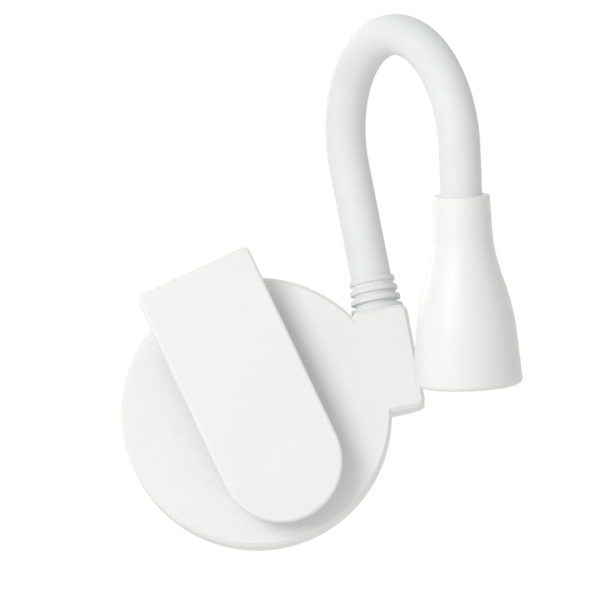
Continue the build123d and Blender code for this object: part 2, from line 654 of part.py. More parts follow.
def coil_heading(turn):
    """Direction of the wire after a number of turns; both ends run straight into their legs."""
    angle = pi + 2 * pi * turn
    rise = 0 if turn in (0, COIL_TURNS) else COIL_PITCH / (2 * pi)
    return Vector(rise, -COIL_RADIUS * sin(angle), COIL_RADIUS * cos(angle)).normalized()


def biarc_knee(start, start_heading, end, end_heading):
    """Point where two arcs meet that leave the start and reach the end along their headings."""
    span = end - start
    total = start_heading + end_heading
    square = 2 - 2 * start_heading.dot(end_heading)
    reach = (sqrt(span.dot(total) ** 2 + square * span.dot(span)) - span.dot(total)) / square
    return (start + start_heading * reach + end - end_heading * reach) / 2


span_ends = [i / SPANS_PER_TURN for i in range(round(SPANS_PER_TURN * COIL_TURNS) + 1)]
with BuildPart() as clip_spring:
    with BuildLine() as wire_path:
        wire_start = coil_point(0) + Vector(0, 0, SPRING_FRONT_LEG)
        Line(wire_start, coil_point(0))
        for turn, following in zip(span_ends, span_ends[1:]):
            start, end = coil_point(turn), coil_point(following)
            knee = biarc_knee(start, coil_heading(turn), end, coil_heading(following))
            first = TangentArc(start, knee, tangent=coil_heading(turn))
            TangentArc(knee, end, tangent=first % 1)
        Line(coil_point(COIL_TURNS), coil_point(COIL_TURNS) + Vector(0, 0, SPRING_REAR_LEG))
    with BuildSketch(Plane(origin=wire_start, z_dir=(0, 0, -1))):
        Circle(WIRE_RADIUS)
    sweep(path=wire_path.line)


# Ball joints of the neck
def ball(height):
    """Ball at a height in the current outline, from its shaft up to its bore; returns both ends."""
    foot_angle = 180 - degrees(asin(LINK_SHAFT / BALL_RADIUS))
    foot = on_sphere(BALL_RADIUS, foot_angle, height)
    brim = on_sphere(BALL_RADIUS, FUNNEL_ANGLE, height)
    throat = (LEAD_BORE, height + LEAD_BORE / tan(radians(FUNNEL_ANGLE)))
    ThreePointArc(foot, on_sphere(BALL_RADIUS, (foot_angle + FUNNEL_ANGLE) / 2, height), brim)
    Line(brim, throat)
    return foot, throat


def cup(root_radius):
    """Cup round a ball at height zero in the current outline, from bore to root; returns both ends."""
    inner = BALL_RADIUS + BALL_RUNNING
    lip = 180 - CUP_ANGLE
    crown = (LEAD_BORE, sqrt(inner**2 - LEAD_BORE**2))
    root = (root_radius, sqrt(CUP_RADIUS**2 - root_radius**2))
    ThreePointArc(crown, on_sphere(inner, lip / 2), on_sphere(inner, lip))
    Line(on_sphere(inner, lip), on_sphere(CUP_RADIUS, lip))
    root_angle = degrees(asin(root_radius / CUP_RADIUS))
    ThreePointArc(on_sphere(CUP_RADIUS, lip), on_sphere(CUP_RADIUS, (lip + root_angle) / 2), root)
    return crown, root


# Ferrule: held by its flange in the barrel, with the first ball on its shaft
with BuildPart() as neck_ferrule:
    with BuildSketch(lengthwise(NECK_ROOT, NECK_UP)):
        with BuildLine():
            foot, throat = ball(FIRST_JOINT)
            Polyline(
                foot,
                (LINK_SHAFT, FERRULE_TOP + FERRULE_TAPER),
                (SLEEVE_BORE, FERRULE_TOP),
                (SLEEVE_BORE, FERRULE_BOTTOM + FLANGE_THICK),
                (FLANGE_RADIUS, FERRULE_BOTTOM + FLANGE_THICK),
                (FLANGE_RADIUS, FERRULE_BOTTOM),
                (LEAD_BORE, FERRULE_BOTTOM),
                throat,
            )
        make_face()
    revolve(axis=Axis(NECK_ROOT, NECK_UP))


# Links: a cup at the near joint and a ball at the far one
def neck_link(start, end):
    """One straight link between two joints."""
    with BuildPart() as link:
        with BuildSketch(lengthwise(start, (end - start).normalized())):
            with BuildLine():
                crown, root = cup(LINK_SHAFT)
                foot, throat = ball((end - start).length)
                Line(root, foot)
                Line(throat, crown)
            make_face()
        revolve(axis=Axis(start, end - start))
    return link


neck_links = [neck_link(start, end) for start, end in zip(JOINTS, JOINTS[1:])]


# Silicone sleeve, one piece on the real neck, here cut square at each joint
def straight_sleeve(start, end):
    """One straight stretch of sleeve."""
    with BuildPart() as stretch:
        with BuildSketch(across(start, (end - start).normalized())):
            Circle(SLEEVE_RADIUS)
            Circle(SLEEVE_BORE, mode=Mode.SUBTRACT)
        extrude(amount=(end - start).length)
    return stretch


def bent_sleeve(first, last, before=0.0, after=0.0):
    """One stretch of sleeve along the loop between two angles, with any straight run at either end."""
    with BuildPart() as stretch:
        with BuildLine() as centreline:
            if before > 0:
                Line(loop_point(first) - loop_heading(first) * before, loop_point(first))
            ThreePointArc(loop_point(first), loop_point((first + last) / 2), loop_point(last))
            if after > 0:
                Line(loop_point(last), loop_point(last) + loop_heading(last) * after)
        with BuildSketch(across(loop_point(first) - loop_heading(first) * before, loop_heading(first))):
            Circle(SLEEVE_RADIUS)
            Circle(SLEEVE_BORE, mode=Mode.SUBTRACT)
        sweep(path=centreline.line)
    return stretch


neck_sleeves = [straight_sleeve(on_neck(FERRULE_BOTTOM + FLANGE_THICK), JOINTS[0])]
neck_sleeves += [bent_sleeve(0, LOOP_STEP / 2, before=REAR_LEG - FIRST_JOINT)]
neck_sleeves += [bent_sleeve(LOOP_STEP * (i - 0.5), LOOP_STEP * (i + 0.5)) for i in range(1, CURL_JOINTS)]
neck_sleeves += [bent_sleeve(LOOP_ANGLE - LOOP_STEP / 2, LOOP_ANGLE, after=FRONT_LEG - LAST_JOINT)]
neck_sleeves += [straight_sleeve(JOINTS[-1], COLLAR_TOP + HEAD_AXIS * STUB_SHOULDER)]


# Lead to the lamp, one wire on the real neck, here cut at each joint
def lead_knee(joint):
    """Middle of the lead's bend at a joint, and its heading there."""
    before, after = HEADINGS[joint], HEADINGS[joint + 1]
    half = asin((after - before).length / 2)
    radius = LEAD_EASE / tan(half)
    middle = JOINTS[joint] + (after - before).normalized() * (radius / cos(half) - radius)
    return middle, (before + after).normalized()


def lead_wire(path):
    """One stretch of lead along a path."""
    with BuildPart() as wire:
        with BuildSketch(Plane(origin=path.line @ 0, z_dir=path.line % 0)):
            Circle(LEAD_RADIUS)
        sweep(path=path.line)
    return wire


def lead_stretch(index):
    """The stretch of lead in one link."""
    heading = HEADINGS[index]
    start, start_heading = lead_knee(index - 1)
    end, _ = lead_knee(index)
    leave = JOINTS[index - 1] + heading * LEAD_EASE
    arrive = JOINTS[index] - heading * LEAD_EASE
    with BuildLine() as path:
        TangentArc(start, leave, tangent=start_heading)
        Line(leave, arrive)
        TangentArc(arrive, end, tangent=heading)
    return lead_wire(path)


with BuildLine() as housing_lead_path:
    lead_exit = JOINTS[0] - NECK_UP * LEAD_EASE
    board_pad = Vector(LEAD_START[0], BOARD_REAR + LEAD_RADIUS, LEAD_START[1])
    FilletPolyline(board_pad, lead_corner, lead_entry, lead_exit, radius=LEAD_CORNER_RADIUS)
    TangentArc(lead_exit, lead_knee(0)[0], tangent=NECK_UP)
with BuildLine() as head_lead_path:
    last_middle, last_heading = lead_knee(CURL_JOINTS + 1)
    lead_return = JOINTS[-1] + HEAD_AXIS * LEAD_EASE
    TangentArc(last_middle, lead_return, tangent=last_heading)
    Line(lead_return, COLLAR_TOP + HEAD_AXIS * BOARD_SEAT)
neck_leads = [lead_wire(housing_lead_path)]
neck_leads += [lead_stretch(i) for i in range(1, CURL_JOINTS + 2)]
neck_leads += [lead_wire(head_lead_path)]

# Strain relief: a flange in the barrel and a tapered, grooved boot over the sleeve
with BuildPart() as neck_boot:
    with BuildSketch(lengthwise(NECK_ROOT, NECK_UP)):
        with BuildLine():
            Polyline(
                (SLEEVE_RADIUS, BOOT_FLANGE_BOTTOM),
                (FLANGE_RADIUS, BOOT_FLANGE_BOTTOM),
                (FLANGE_RADIUS, BOOT_FLANGE_BOTTOM + BOOT_FLANGE_THICK),
                (BOOT_WAIST, BOOT_FLANGE_BOTTOM + BOOT_FLANGE_THICK),
                (BOOT_WAIST, BARREL_TOP),
                (BOOT_SHOULDER, BARREL_TOP),
                (BOOT_TIP_RADIUS, BOOT_TOP),
                (SLEEVE_RADIUS, BOOT_TOP),
                close=True,
            )
        make_face()
    revolve(axis=Axis(NECK_ROOT, NECK_UP))
    for i in range(BOOT_GROOVES):
        groove_bottom = BARREL_TOP + (BOOT_TOP - BARREL_TOP) * (i + 1) / (BOOT_GROOVES + 1)
        with BuildSketch(across(on_neck(groove_bottom), NECK_UP)):
            Circle(BOOT_SHOULDER + FIT)
            Circle(BOOT_TIP_RADIUS, mode=Mode.SUBTRACT)
        extrude(amount=BOOT_GROOVE_WIDTH, mode=Mode.SUBTRACT)

# Head stub: the last cup, on a flanged tube that is pushed up through the head from inside
with BuildPart() as head_stub:
    stub_seat = LAST_JOINT + STUB_SHOULDER
    with BuildSketch(lengthwise(JOINTS[-1], HEAD_AXIS)):
        with BuildLine():
            crown, root = cup(CUP_RADIUS)
            Polyline(
                root,
                (SLEEVE_BORE, BALL_RADIUS),
                (SLEEVE_BORE, stub_seat),
                (STUB_FLANGE, stub_seat),
                (STUB_FLANGE, stub_seat + STUB_FLANGE_THICK),
                (LEAD_BORE, stub_seat + STUB_FLANGE_THICK),
                crown,
            )
        make_face()
    revolve(axis=Axis(JOINTS[-1], HEAD_AXIS))

# Head shell: collar, flare and mouth outside; sleeve bore, throat, board seat and lens seat inside
HEAD_SECTION = lengthwise(COLLAR_TOP, HEAD_AXIS)
HEAD_SPINDLE = Axis(COLLAR_TOP, HEAD_AXIS)
with BuildPart() as head_shell:
    collar_end = COLLAR_RADIUS + COLLAR_SWELL
    collar_slope = COLLAR_SWELL / COLLAR_LENGTH
    mouth_slope = (MOUTH_RADIUS - FLARE_RADIUS) / (HEAD_LENGTH - RIM_ROUND - FLARE_END)
    seat_radius = LED_BOARD_RADIUS + FIT
    lens_bore = LENS_RADIUS + FIT
    with BuildSketch(HEAD_SECTION):
        with BuildLine():
            Polyline((SLEEVE_RADIUS, 0), (COLLAR_RADIUS - COLLAR_ROUND, 0))
            RadiusArc((COLLAR_RADIUS - COLLAR_ROUND, 0), (COLLAR_RADIUS, COLLAR_ROUND), -COLLAR_ROUND)
            Line((COLLAR_RADIUS, COLLAR_ROUND), (collar_end, COLLAR_LENGTH))
            Bezier(
                (collar_end, COLLAR_LENGTH),
                (collar_end + collar_slope * FLARE_START_PULL, COLLAR_LENGTH + FLARE_START_PULL),
                (FLARE_RADIUS - mouth_slope * FLARE_END_PULL, FLARE_END - FLARE_END_PULL),
                (FLARE_RADIUS, FLARE_END),
            )
            Line((FLARE_RADIUS, FLARE_END), (MOUTH_RADIUS, HEAD_LENGTH - RIM_ROUND))
            RadiusArc(
                (MOUTH_RADIUS, HEAD_LENGTH - RIM_ROUND),
                (MOUTH_RADIUS - RIM_ROUND, HEAD_LENGTH),
                -RIM_ROUND,
            )
            Polyline(
                (MOUTH_RADIUS - RIM_ROUND, HEAD_LENGTH),
                (lens_bore, HEAD_LENGTH),
                (lens_bore, LENS_SEAT),
                (lens_bore - LENS_LEDGE, LENS_SEAT),
                (FLARE_RADIUS - HEAD_WALL, FLARE_END),
                (seat_radius, BOARD_SEAT + LED_BOARD_THICK),
                (seat_radius, BOARD_SEAT),
                (seat_radius - SEAT_LEDGE, BOARD_SEAT),
                (THROAT_RADIUS, THROAT_END),
                (THROAT_RADIUS, STUB_SHOULDER),
                (SLEEVE_RADIUS, STUB_SHOULDER),
                (SLEEVE_RADIUS, 0),
            )
        make_face()
    revolve(axis=HEAD_SPINDLE)

# Lamp on its round board
with BuildPart() as led_board:
    with BuildSketch(across(COLLAR_TOP + HEAD_AXIS * BOARD_SEAT, HEAD_AXIS)):
        Circle(LED_BOARD_RADIUS)
    extrude(amount=LED_BOARD_THICK)
with BuildPart() as led:
    lamp_seat = COLLAR_TOP + HEAD_AXIS * (BOARD_SEAT + LED_BOARD_THICK)
    with BuildSketch(across(lamp_seat, HEAD_AXIS)):
        Rectangle(LED_SIZE, LED_SIZE)
    extrude(amount=LED_THICK)
    with BuildSketch(lengthwise(lamp_seat, HEAD_AXIS)):
        with Locations((0, LED_THICK)):
            Circle(LED_DOME)
        with Locations((LED_DOME, LED_THICK + LED_DOME)):
            Rectangle(2 * LED_DOME, 2 * LED_DOME, mode=Mode.INTERSECT)
    revolve(axis=HEAD_SPINDLE)

# Reflector: a curved funnel from the lamp to a flange behind the lens
with BuildPart() as reflector:
    reflector_back = BOARD_SEAT + LED_BOARD_THICK
    reflector_middle = (reflector_back + LENS_SEAT) / 2
    flange_back = LENS_SEAT - REFLECTOR_FLANGE
    bore_outer = REFLECTOR_BORE + REFLECTOR_WALL
    mouth_outer = REFLECTOR_MOUTH + REFLECTOR_WALL
    with BuildSketch(HEAD_SECTION):
        with BuildLine():
            Line((REFLECTOR_BORE, reflector_back), (bore_outer, reflector_back))
            ThreePointArc(
                (bore_outer, reflector_back),
                ((bore_outer + mouth_outer) / 2 + REFLECTOR_BULGE, reflector_middle),
                (mouth_outer, flange_back),
            )
            Polyline(
                (mouth_outer, flange_back),
                (lens_bore - LENS_LEDGE - FIT, flange_back),
                (lens_bore - LENS_LEDGE - FIT, LENS_SEAT),
                (REFLECTOR_MOUTH, LENS_SEAT),
            )
            ThreePointArc(
                (REFLECTOR_MOUTH, LENS_SEAT),
                ((REFLECTOR_BORE + REFLECTOR_MOUTH) / 2 + REFLECTOR_BULGE, reflector_middle),
                (REFLECTOR_BORE, reflector_back),
            )
        make_face()
    revolve(axis=HEAD_SPINDLE)

# Frosted lens and the ring that holds it
with BuildPart() as lens:
    lens_front = LENS_SEAT + LENS_THICK
    ring_bore = LENS_RADIUS - RING_WIDTH
    with BuildSketch(HEAD_SECTION):
        with BuildLine():
            Polyline(
                (0, lens_front + LENS_CROWN),
                (0, LENS_SEAT),
                (LENS_RADIUS, LENS_SEAT),
                (LENS_RADIUS, lens_front),
                (ring_bore, lens_front),
            )
            crown_radius = (ring_bore**2 + LENS_CROWN**2) / (2 * LENS_CROWN)
            crown_dip = crown_radius - sqrt(crown_radius**2 - (ring_bore / 2) ** 2)
            half_crown = (ring_bore / 2, lens_front + LENS_CROWN - crown_dip)
            ThreePointArc((ring_bore, lens_front), half_crown, (0, lens_front + LENS_CROWN))
        make_face()
    revolve(axis=HEAD_SPINDLE)
with BuildPart() as lens_ring:
    with BuildSketch(HEAD_SECTION):
        with BuildLine():
            Polyline(
                (lens_bore, lens_front),
                (lens_bore, lens_front + RING_THICK),
                (ring_bore + RING_SLOPE, lens_front + RING_THICK),
                (ring_bore, lens_front + RING_THICK - RING_SLOPE),
                (ring_bore, lens_front),
                close=True,
            )
        make_face()
    revolve(axis=HEAD_SPINDLE)

# Least gap of the spring's wire to itself, between points at least half a turn apart
samples = range(round(SAMPLES_PER_TURN * COIL_TURNS) + 1)
wire_points = [coil_point(i / SAMPLES_PER_TURN) for i in samples]
gaps = [(b - a).length for i, a in enumerate(wire_points) for b in wire_points[i + SAMPLES_PER_TURN // 2:]]
print(f"least gap of the spring to itself: {min(gaps) - 2 * WIRE_RADIUS:.2f} mm")

# Names of all the pieces
pieces = {
    "front_plate": front_plate,
    "rear_shell": rear_shell,
    "housing_screws": housing_screws,
    "coin_cell_front": coin_cell_front,
    "coin_cell_rear": coin_cell_rear,
    "battery_door": battery_door,
    "negative_contact": negative_contact,
    "positive_contact": positive_contact,
    "circuit_board": circuit_board,
    "switch_body": switch_body,
    "switch_knob": switch_knob,
    "led_resistor": led_resistor,
    "plate_grip_pad": plate_grip_pad,
    "paddle_grip_pad": paddle_grip_pad,
    "clip_paddle": clip_paddle,
    "hinge_pin": hinge_pin,
    "clip_spring": clip_spring,
    "neck_ferrule": neck_ferrule,
    "neck_boot": neck_boot,
    "head_stub": head_stub,
    "head_shell": head_shell,
    "led_board": led_board,
    "led": led,
    "reflector": reflector,
    "lens": lens,
    "lens_ring": lens_ring,
}
pieces |= {f"neck_link_{i + 1}": link for i, link in enumerate(neck_links)}
pieces |= {f"neck_sleeve_{i}": stretch for i, stretch in enumerate(neck_sleeves)}
pieces |= {f"neck_lead_{i}": wire for i, wire in enumerate(neck_leads)}

os.makedirs("parts", exist_ok=True)
for name, piece in pieces.items():
    piece.part.label = name
    export_step(piece.part, f"parts/{name}.step")
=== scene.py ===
import json
import logging
from collections.abc import Callable, Iterator
from contextlib import contextmanager
from dataclasses import dataclass
from enum import Enum
from math import asin, ceil, cos, degrees, pi, radians, sin

import bmesh
import bpy
from bpy.types import Material, NodeSocket, Object
from mathutils import Matrix, Quaternion, Vector


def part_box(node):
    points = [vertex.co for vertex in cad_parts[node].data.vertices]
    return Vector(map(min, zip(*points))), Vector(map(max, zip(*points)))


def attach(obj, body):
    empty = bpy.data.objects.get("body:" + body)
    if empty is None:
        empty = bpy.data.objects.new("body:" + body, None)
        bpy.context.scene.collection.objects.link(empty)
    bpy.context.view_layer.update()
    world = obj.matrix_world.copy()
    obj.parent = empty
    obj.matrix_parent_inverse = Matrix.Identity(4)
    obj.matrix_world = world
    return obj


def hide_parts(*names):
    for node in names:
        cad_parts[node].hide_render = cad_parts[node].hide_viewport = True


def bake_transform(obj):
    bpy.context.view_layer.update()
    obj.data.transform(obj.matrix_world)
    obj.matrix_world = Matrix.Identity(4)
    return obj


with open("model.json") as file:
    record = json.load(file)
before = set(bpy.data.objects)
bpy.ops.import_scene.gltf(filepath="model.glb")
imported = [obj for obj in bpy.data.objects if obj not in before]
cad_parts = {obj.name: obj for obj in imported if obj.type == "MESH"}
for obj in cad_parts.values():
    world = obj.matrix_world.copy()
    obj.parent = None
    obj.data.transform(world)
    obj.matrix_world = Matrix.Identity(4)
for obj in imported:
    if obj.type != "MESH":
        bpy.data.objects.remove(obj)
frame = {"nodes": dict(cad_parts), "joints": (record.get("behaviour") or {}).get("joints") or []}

log = logging.getLogger("reading_light")

MM = 0.001
WELD = 0.002 * MM
SMOOTH_ANGLE = radians(32)

Colour = tuple[float, float, float]
Point = tuple[float, float]
Levels = tuple[float, float]


class Slot(Enum):
    """Material slots of the record."""

    SHELL = "white_shell"
    SLEEVE = "white_silicone"
    GRIP = "grip_silicone"
    SPRING = "spring_steel"
    LENS = "frosted_lens"


# Shader nodes
class Signal:
    """A number on its way through a material, with arithmetic that adds Math nodes."""

    def __init__(self, graph: "Graph", socket: NodeSocket) -> None:
        """Wraps a socket.

        Args:
            graph: The nodes that the socket belongs to.
            socket: The output socket that carries the number.
        """
        self.graph = graph
        self.socket = socket

    def math(self, operation: str, first: object, second: object = 0.0) -> "Signal":
        """Adds one Math node.

        Args:
            operation: The Math node's operation.
            first: Its first operand.
            second: Its second operand.

        Returns:
            The node's result.
        """
        made = self.graph.node("ShaderNodeMath", {"operation": operation}, {0: first, 1: second})
        return Signal(self.graph, made.outputs[0])

    def __add__(self, other: object) -> "Signal":
        """This number plus another."""
        return self.math("ADD", self, other)

    __radd__ = __add__

    def __sub__(self, other: object) -> "Signal":
        """This number minus another."""
        return self.math("SUBTRACT", self, other)

    def __rsub__(self, other: object) -> "Signal":
        """Another number minus this one."""
        return self.math("SUBTRACT", other, self)

    def __mul__(self, other: object) -> "Signal":
        """This number times another."""
        return self.math("MULTIPLY", self, other)

    __rmul__ = __mul__

    def __gt__(self, other: object) -> "Signal":
        """1 where this number is the greater one, and 0 elsewhere."""
        return self.math("GREATER_THAN", self, other)

    def __lt__(self, other: object) -> "Signal":
        """1 where this number is the lesser one, and 0 elsewhere."""
        return self.math("LESS_THAN", self, other)

    def root(self) -> "Signal":
        """Square root of this number."""
        return self.math("SQRT", self)

    def wave(self) -> "Signal":
        """Sine of this number, brought to 0 to 1."""
        return self.math("SINE", self) * 0.5 + 0.5

    def swing(self, width: float) -> "Signal":
        """This number, from 0 to 1, as a swing of a given width about 0."""
        return (self - 0.5) * width

    def at_least(self, other: object) -> "Signal":
        """The greater of this number and another."""
        return self.math("MAXIMUM", self, other)


class Graph:
    """Shader nodes of a material or of the world."""

    def __init__(self, tree: bpy.types.ShaderNodeTree) -> None:
        """Starts from an empty tree.

        Args:
            tree: The tree.
        """
        self.tree = tree
        self.tree.nodes.clear()

    def node(self, kind: str, settings: dict | None = None, inputs: dict | None = None) -> bpy.types.Node:
        """Adds a node of any kind.

        Args:
            kind: The node's type.
            settings: Its own settings, set first, or the places and greys of its ramp's two stops.
            inputs: Values, sockets or signals for its input sockets, by name or number.

        Returns:
            The node.
        """
        made = self.tree.nodes.new(kind)
        for key, value in (settings or {}).items():
            if key == "stops":
                for stop, (place, grey) in zip(made.color_ramp.elements, value):
                    stop.position = place
                    stop.color = (grey, grey, grey, 1)
            else:
                setattr(made, key, value)
        for key, value in (inputs or {}).items():
            self.feed(made.inputs[key], value)
        return made

    def feed(self, socket: NodeSocket, value: object) -> None:
        """Links a signal or a socket to an input socket, or sets its value.

        Args:
            socket: The input socket.
            value: The signal, output socket, number or colour.
        """
        source = value.socket if isinstance(value, Signal) else value
        if isinstance(source, NodeSocket):
            self.tree.links.new(source, socket)
        elif socket.type == "RGBA":
            socket.default_value = (*source, 1)
        else:
            socket.default_value = source

    def seen(self) -> Signal:
        """Tells where the background itself is seen, also in gloss or through glass.

        Returns:
            1 where it is seen, and 0 where it lights.
        """
        rays = self.node("ShaderNodeLightPath").outputs
        kinds = ("Camera", "Glossy", "Transmission")
        plain, gloss, glass = (Signal(self, rays[f"Is {kind} Ray"]) for kind in kinds)
        return plain.at_least(gloss).at_least(glass)


class Recipe(Graph):
    """One material, built from nodes around a Principled shader."""

    def __init__(self, name: str) -> None:
        """Starts a material.

        Args:
            name: The material's name.
        """
        self.material = bpy.data.materials.new(name)
        self.material.use_nodes = True
        super().__init__(self.material.node_tree)
        self.shader = self.node("ShaderNodeBsdfPrincipled")
        end = self.node("ShaderNodeOutputMaterial", inputs={"Surface": self.shader.outputs[0]})
        self.surface = end.inputs["Surface"]
        self.place = self.node("ShaderNodeTexCoord").outputs["Object"]

    def paint(self, **channels: object) -> None:
        """Feeds or sets channels of the shader, with underscores for spaces in their names."""
        for key, value in channels.items():
            self.feed(self.shader.inputs[key.replace("_", " ")], value)

    def noise(self, size: float, detail: float = 3.0, where: object = None) -> Signal:
        """Smooth noise from 0 to 1.

        Args:
            size: Width of its features, in metres.
            detail: Number of finer layers.
            where: Coordinates in place of the object's own.

        Returns:
            The noise.
        """
        made = self.node("ShaderNodeTexNoise", inputs={
            "Vector": self.place if where is None else where, "Scale": 1 / size, "Detail": detail})
        return Signal(self, made.outputs[0])

    def cells(self, size: float) -> Signal:
        """Distance to the nearest of many scattered points, from 0.

        Args:
            size: Mean spacing of the points, in metres.

        Returns:
            The distance, in spacings.
        """
        made = self.node("ShaderNodeTexVoronoi", inputs={"Vector": self.place, "Scale": 1 / size})
        return Signal(self, made.outputs[0])

    def ramp(self, value: Signal, levels: Levels, low: float = 0.0) -> Signal:
        """Ramp over a number.

        Args:
            value: The number.
            levels: Where the ramp starts, and where it reaches 1.
            low: What it is before its start.

        Returns:
            The ramp.
        """
        made = self.node("ShaderNodeValToRGB", {"stops": zip(levels, (low, 1.0))}, {0: value})
        return Signal(self, made.outputs[0])

    def patches(self, size: float, levels: Levels) -> Signal:
        """Soft-edged patches of noise, from 0 between them to 1 inside, by a size and two levels."""
        return self.ramp(self.noise(size), levels)

    def blend(self, factor: Signal, first: object, second: object) -> NodeSocket:
        """Mixes two colours.

        Args:
            factor: 0 for the first, 1 for the second.
            first: A colour or socket.
            second: A colour or socket.

        Returns:
            The mixed colour's socket.
        """
        made = self.node("ShaderNodeMix", {"data_type": "RGBA"}, {0: factor, 6: first, 7: second})
        return made.outputs[2]

    def relief(self, height: Signal, depth: float, under: object = None) -> NodeSocket:
        """Bump of a height.

        Args:
            height: The height, from 0 to 1.
            depth: What a height of 1 is, in metres.
            under: A bump below this one.

        Returns:
            The normal's socket.
        """
        inputs = {"Height": height, "Distance": depth, "Strength": 1.0}
        if under is not None:
            inputs["Normal"] = under
        return self.node("ShaderNodeBump", inputs=inputs).outputs[0]

    def turned_place(self, axis: Vector, centre: object = (0, 0, 0), scale: object = (1, 1, 1)) -> NodeSocket:
        """Coordinates turned to have an axis as Z.

        Args:
            axis: The axis.
            centre: Where they start from.
            scale: The length of one step of each, in metres.

        Returns:
            The coordinates' socket.
        """
        turn = axis.to_track_quat("Z", "Y").to_euler()
        made = self.node("ShaderNodeMapping", {"vector_type": "TEXTURE"}, {
            "Vector": self.place, "Location": centre, "Rotation": turn, "Scale": scale})
        return made.outputs[0]

    def distance_from(self, centre: Vector, axis: Vector) -> Signal:
        """Distance from an axis, in metres.

        Args:
            centre: A point on the axis.
            axis: The axis.

        Returns:
            The distance.
        """
        parts = self.node("ShaderNodeSeparateXYZ", inputs={0: self.turned_place(axis, centre)})
        across = Signal(self, parts.outputs[0])
        along = Signal(self, parts.outputs[1])
        return (across * across + along * along).root()

    def rings(self, centre: Vector, axis: Vector, pitch: float) -> Signal:
        """Rings about an axis, from 0 to 1 and back over each pitch, which is in metres."""
        return (self.distance_from(centre, axis) * (2 * pi / pitch)).wave()


# Finishes
@dataclass(frozen=True)
class Finish:
    """A finish that varies between a colour and a shade near it."""

    name: str
    colour: Colour
    shade: Colour

    def mix(self, recipe: Recipe) -> None:
        """Mixes the finish, each kind in its own way.

        Args:
            recipe: Its nodes.
        """
        raise NotImplementedError

    def make(self) -> Material:
        """Makes the material.

        Returns:
            The material.
        """
        recipe = Recipe(self.name)
        self.mix(recipe)
        return recipe.material


@dataclass(frozen=True)
class MouldedPlastic(Finish):
    """Hard moulded plastic with a fine eroded grain and faint clouding."""

    roughness: float = 0.42
    gloss_patch: float = 3 * MM
    gloss_spread: float = 0.12
    grain: float = 0.3 * MM
    grain_depth: float = 0.034 * MM
    grain_spread: float = 0.06
    cloud: float = 9 * MM
    waviness: float = 6 * MM
    wave_depth: float = 0.03 * MM

    def mix(self, recipe: Recipe) -> None:
        """Mixes the plastic.

        Args:
            recipe: Its nodes.
        """
        cloud = recipe.patches(self.cloud, levels=(0.35, 0.7))
        grain = recipe.noise(self.grain, detail=2)
        gloss = recipe.noise(self.gloss_patch)
        sink = recipe.relief(recipe.noise(self.waviness, detail=1), self.wave_depth)
        recipe.paint(
            Specular_IOR_Level=0.45,
            Base_Color=recipe.blend(cloud, self.colour, self.shade),
            Roughness=self.roughness + gloss.swing(self.gloss_spread) + grain.swing(self.grain_spread),
            Normal=recipe.relief(grain, self.grain_depth, sink))


@dataclass(frozen=True)
class Silicone(Finish):
    """Soft matt silicone with a velvety skin and a little clinging dust."""

    roughness: float = 0.62
    skin: float = 0.22 * MM
    skin_depth: float = 0.032 * MM
    skin_spread: float = 0.14
    cloud: float = 5 * MM
    cloud_spread: float = 0.06
    dust: Colour = (0.70, 0.69, 0.66)
    dust_spacing: float = 1.5 * MM
    dust_size: float = 0.075
    dust_cover: float = 0.5

    def mix(self, recipe: Recipe) -> None:
        """Mixes the silicone.

        Args:
            recipe: Its nodes.
        """
        cloud = recipe.patches(self.cloud, levels=(0.3, 0.75))
        skin = recipe.noise(self.skin)
        speck = recipe.cells(self.dust_spacing) < self.dust_size
        body = recipe.blend(cloud, self.colour, self.shade)
        recipe.paint(
            Specular_IOR_Level=0.35,
            Sheen_Weight=0.12,
            Sheen_Roughness=0.5,
            Base_Color=recipe.blend(speck * self.dust_cover, body, self.dust),
            Roughness=self.roughness + skin.swing(self.skin_spread) + cloud.swing(self.cloud_spread),
            Normal=recipe.relief(skin, self.skin_depth))


@dataclass(frozen=True)
class BrushedMetal(Finish):
    """Plated or bare metal with fine drawn lines along one direction."""

    along: Vector = Vector((1, 0, 0))
    roughness: float = 0.3
    line: float = 0.08 * MM
    line_length: float = 4 * MM
    line_spread: float = 0.25
    stain_cover: float = 0.6
    stain_dulling: float = 0.1

    def mix(self, recipe: Recipe) -> None:
        """Mixes the metal.

        Args:
            recipe: Its nodes.
        """
        drawn = recipe.turned_place(self.along, scale=(self.line, self.line, self.line_length))
        lines = recipe.noise(1, detail=2, where=drawn)
        stain = recipe.patches(1.2 * MM, levels=(0.45, 0.8))
        recipe.paint(
            Metallic=1,
            Base_Color=recipe.blend(stain * self.stain_cover, self.colour, self.shade),
            Roughness=self.roughness + lines.swing(self.line_spread) + stain * self.stain_dulling,
            Normal=recipe.relief(lines, depth=0.004 * MM))


@dataclass(frozen=True)
class SpunMetal(Finish):
    """Metal turned or pressed about an axis, with fine rings round it."""

    centre: Vector
    axis: Vector
    roughness: float = 0.25
    ring: float = 0.12 * MM
    ring_dulling: float = 0.08
    stain_cover: float = 0.5
    stain_dulling: float = 0.1

    def mix(self, recipe: Recipe) -> None:
        """Mixes the metal.

        Args:
            recipe: Its nodes.
        """
        rings = recipe.rings(self.centre, self.axis, self.ring)
        stain = recipe.patches(2 * MM, levels=(0.5, 0.85))
        recipe.paint(
            Metallic=1,
            Base_Color=recipe.blend(stain * self.stain_cover, self.colour, self.shade),
            Roughness=self.roughness + rings * self.ring_dulling + stain * self.stain_dulling,
            Normal=recipe.relief(rings, depth=0.003 * MM))


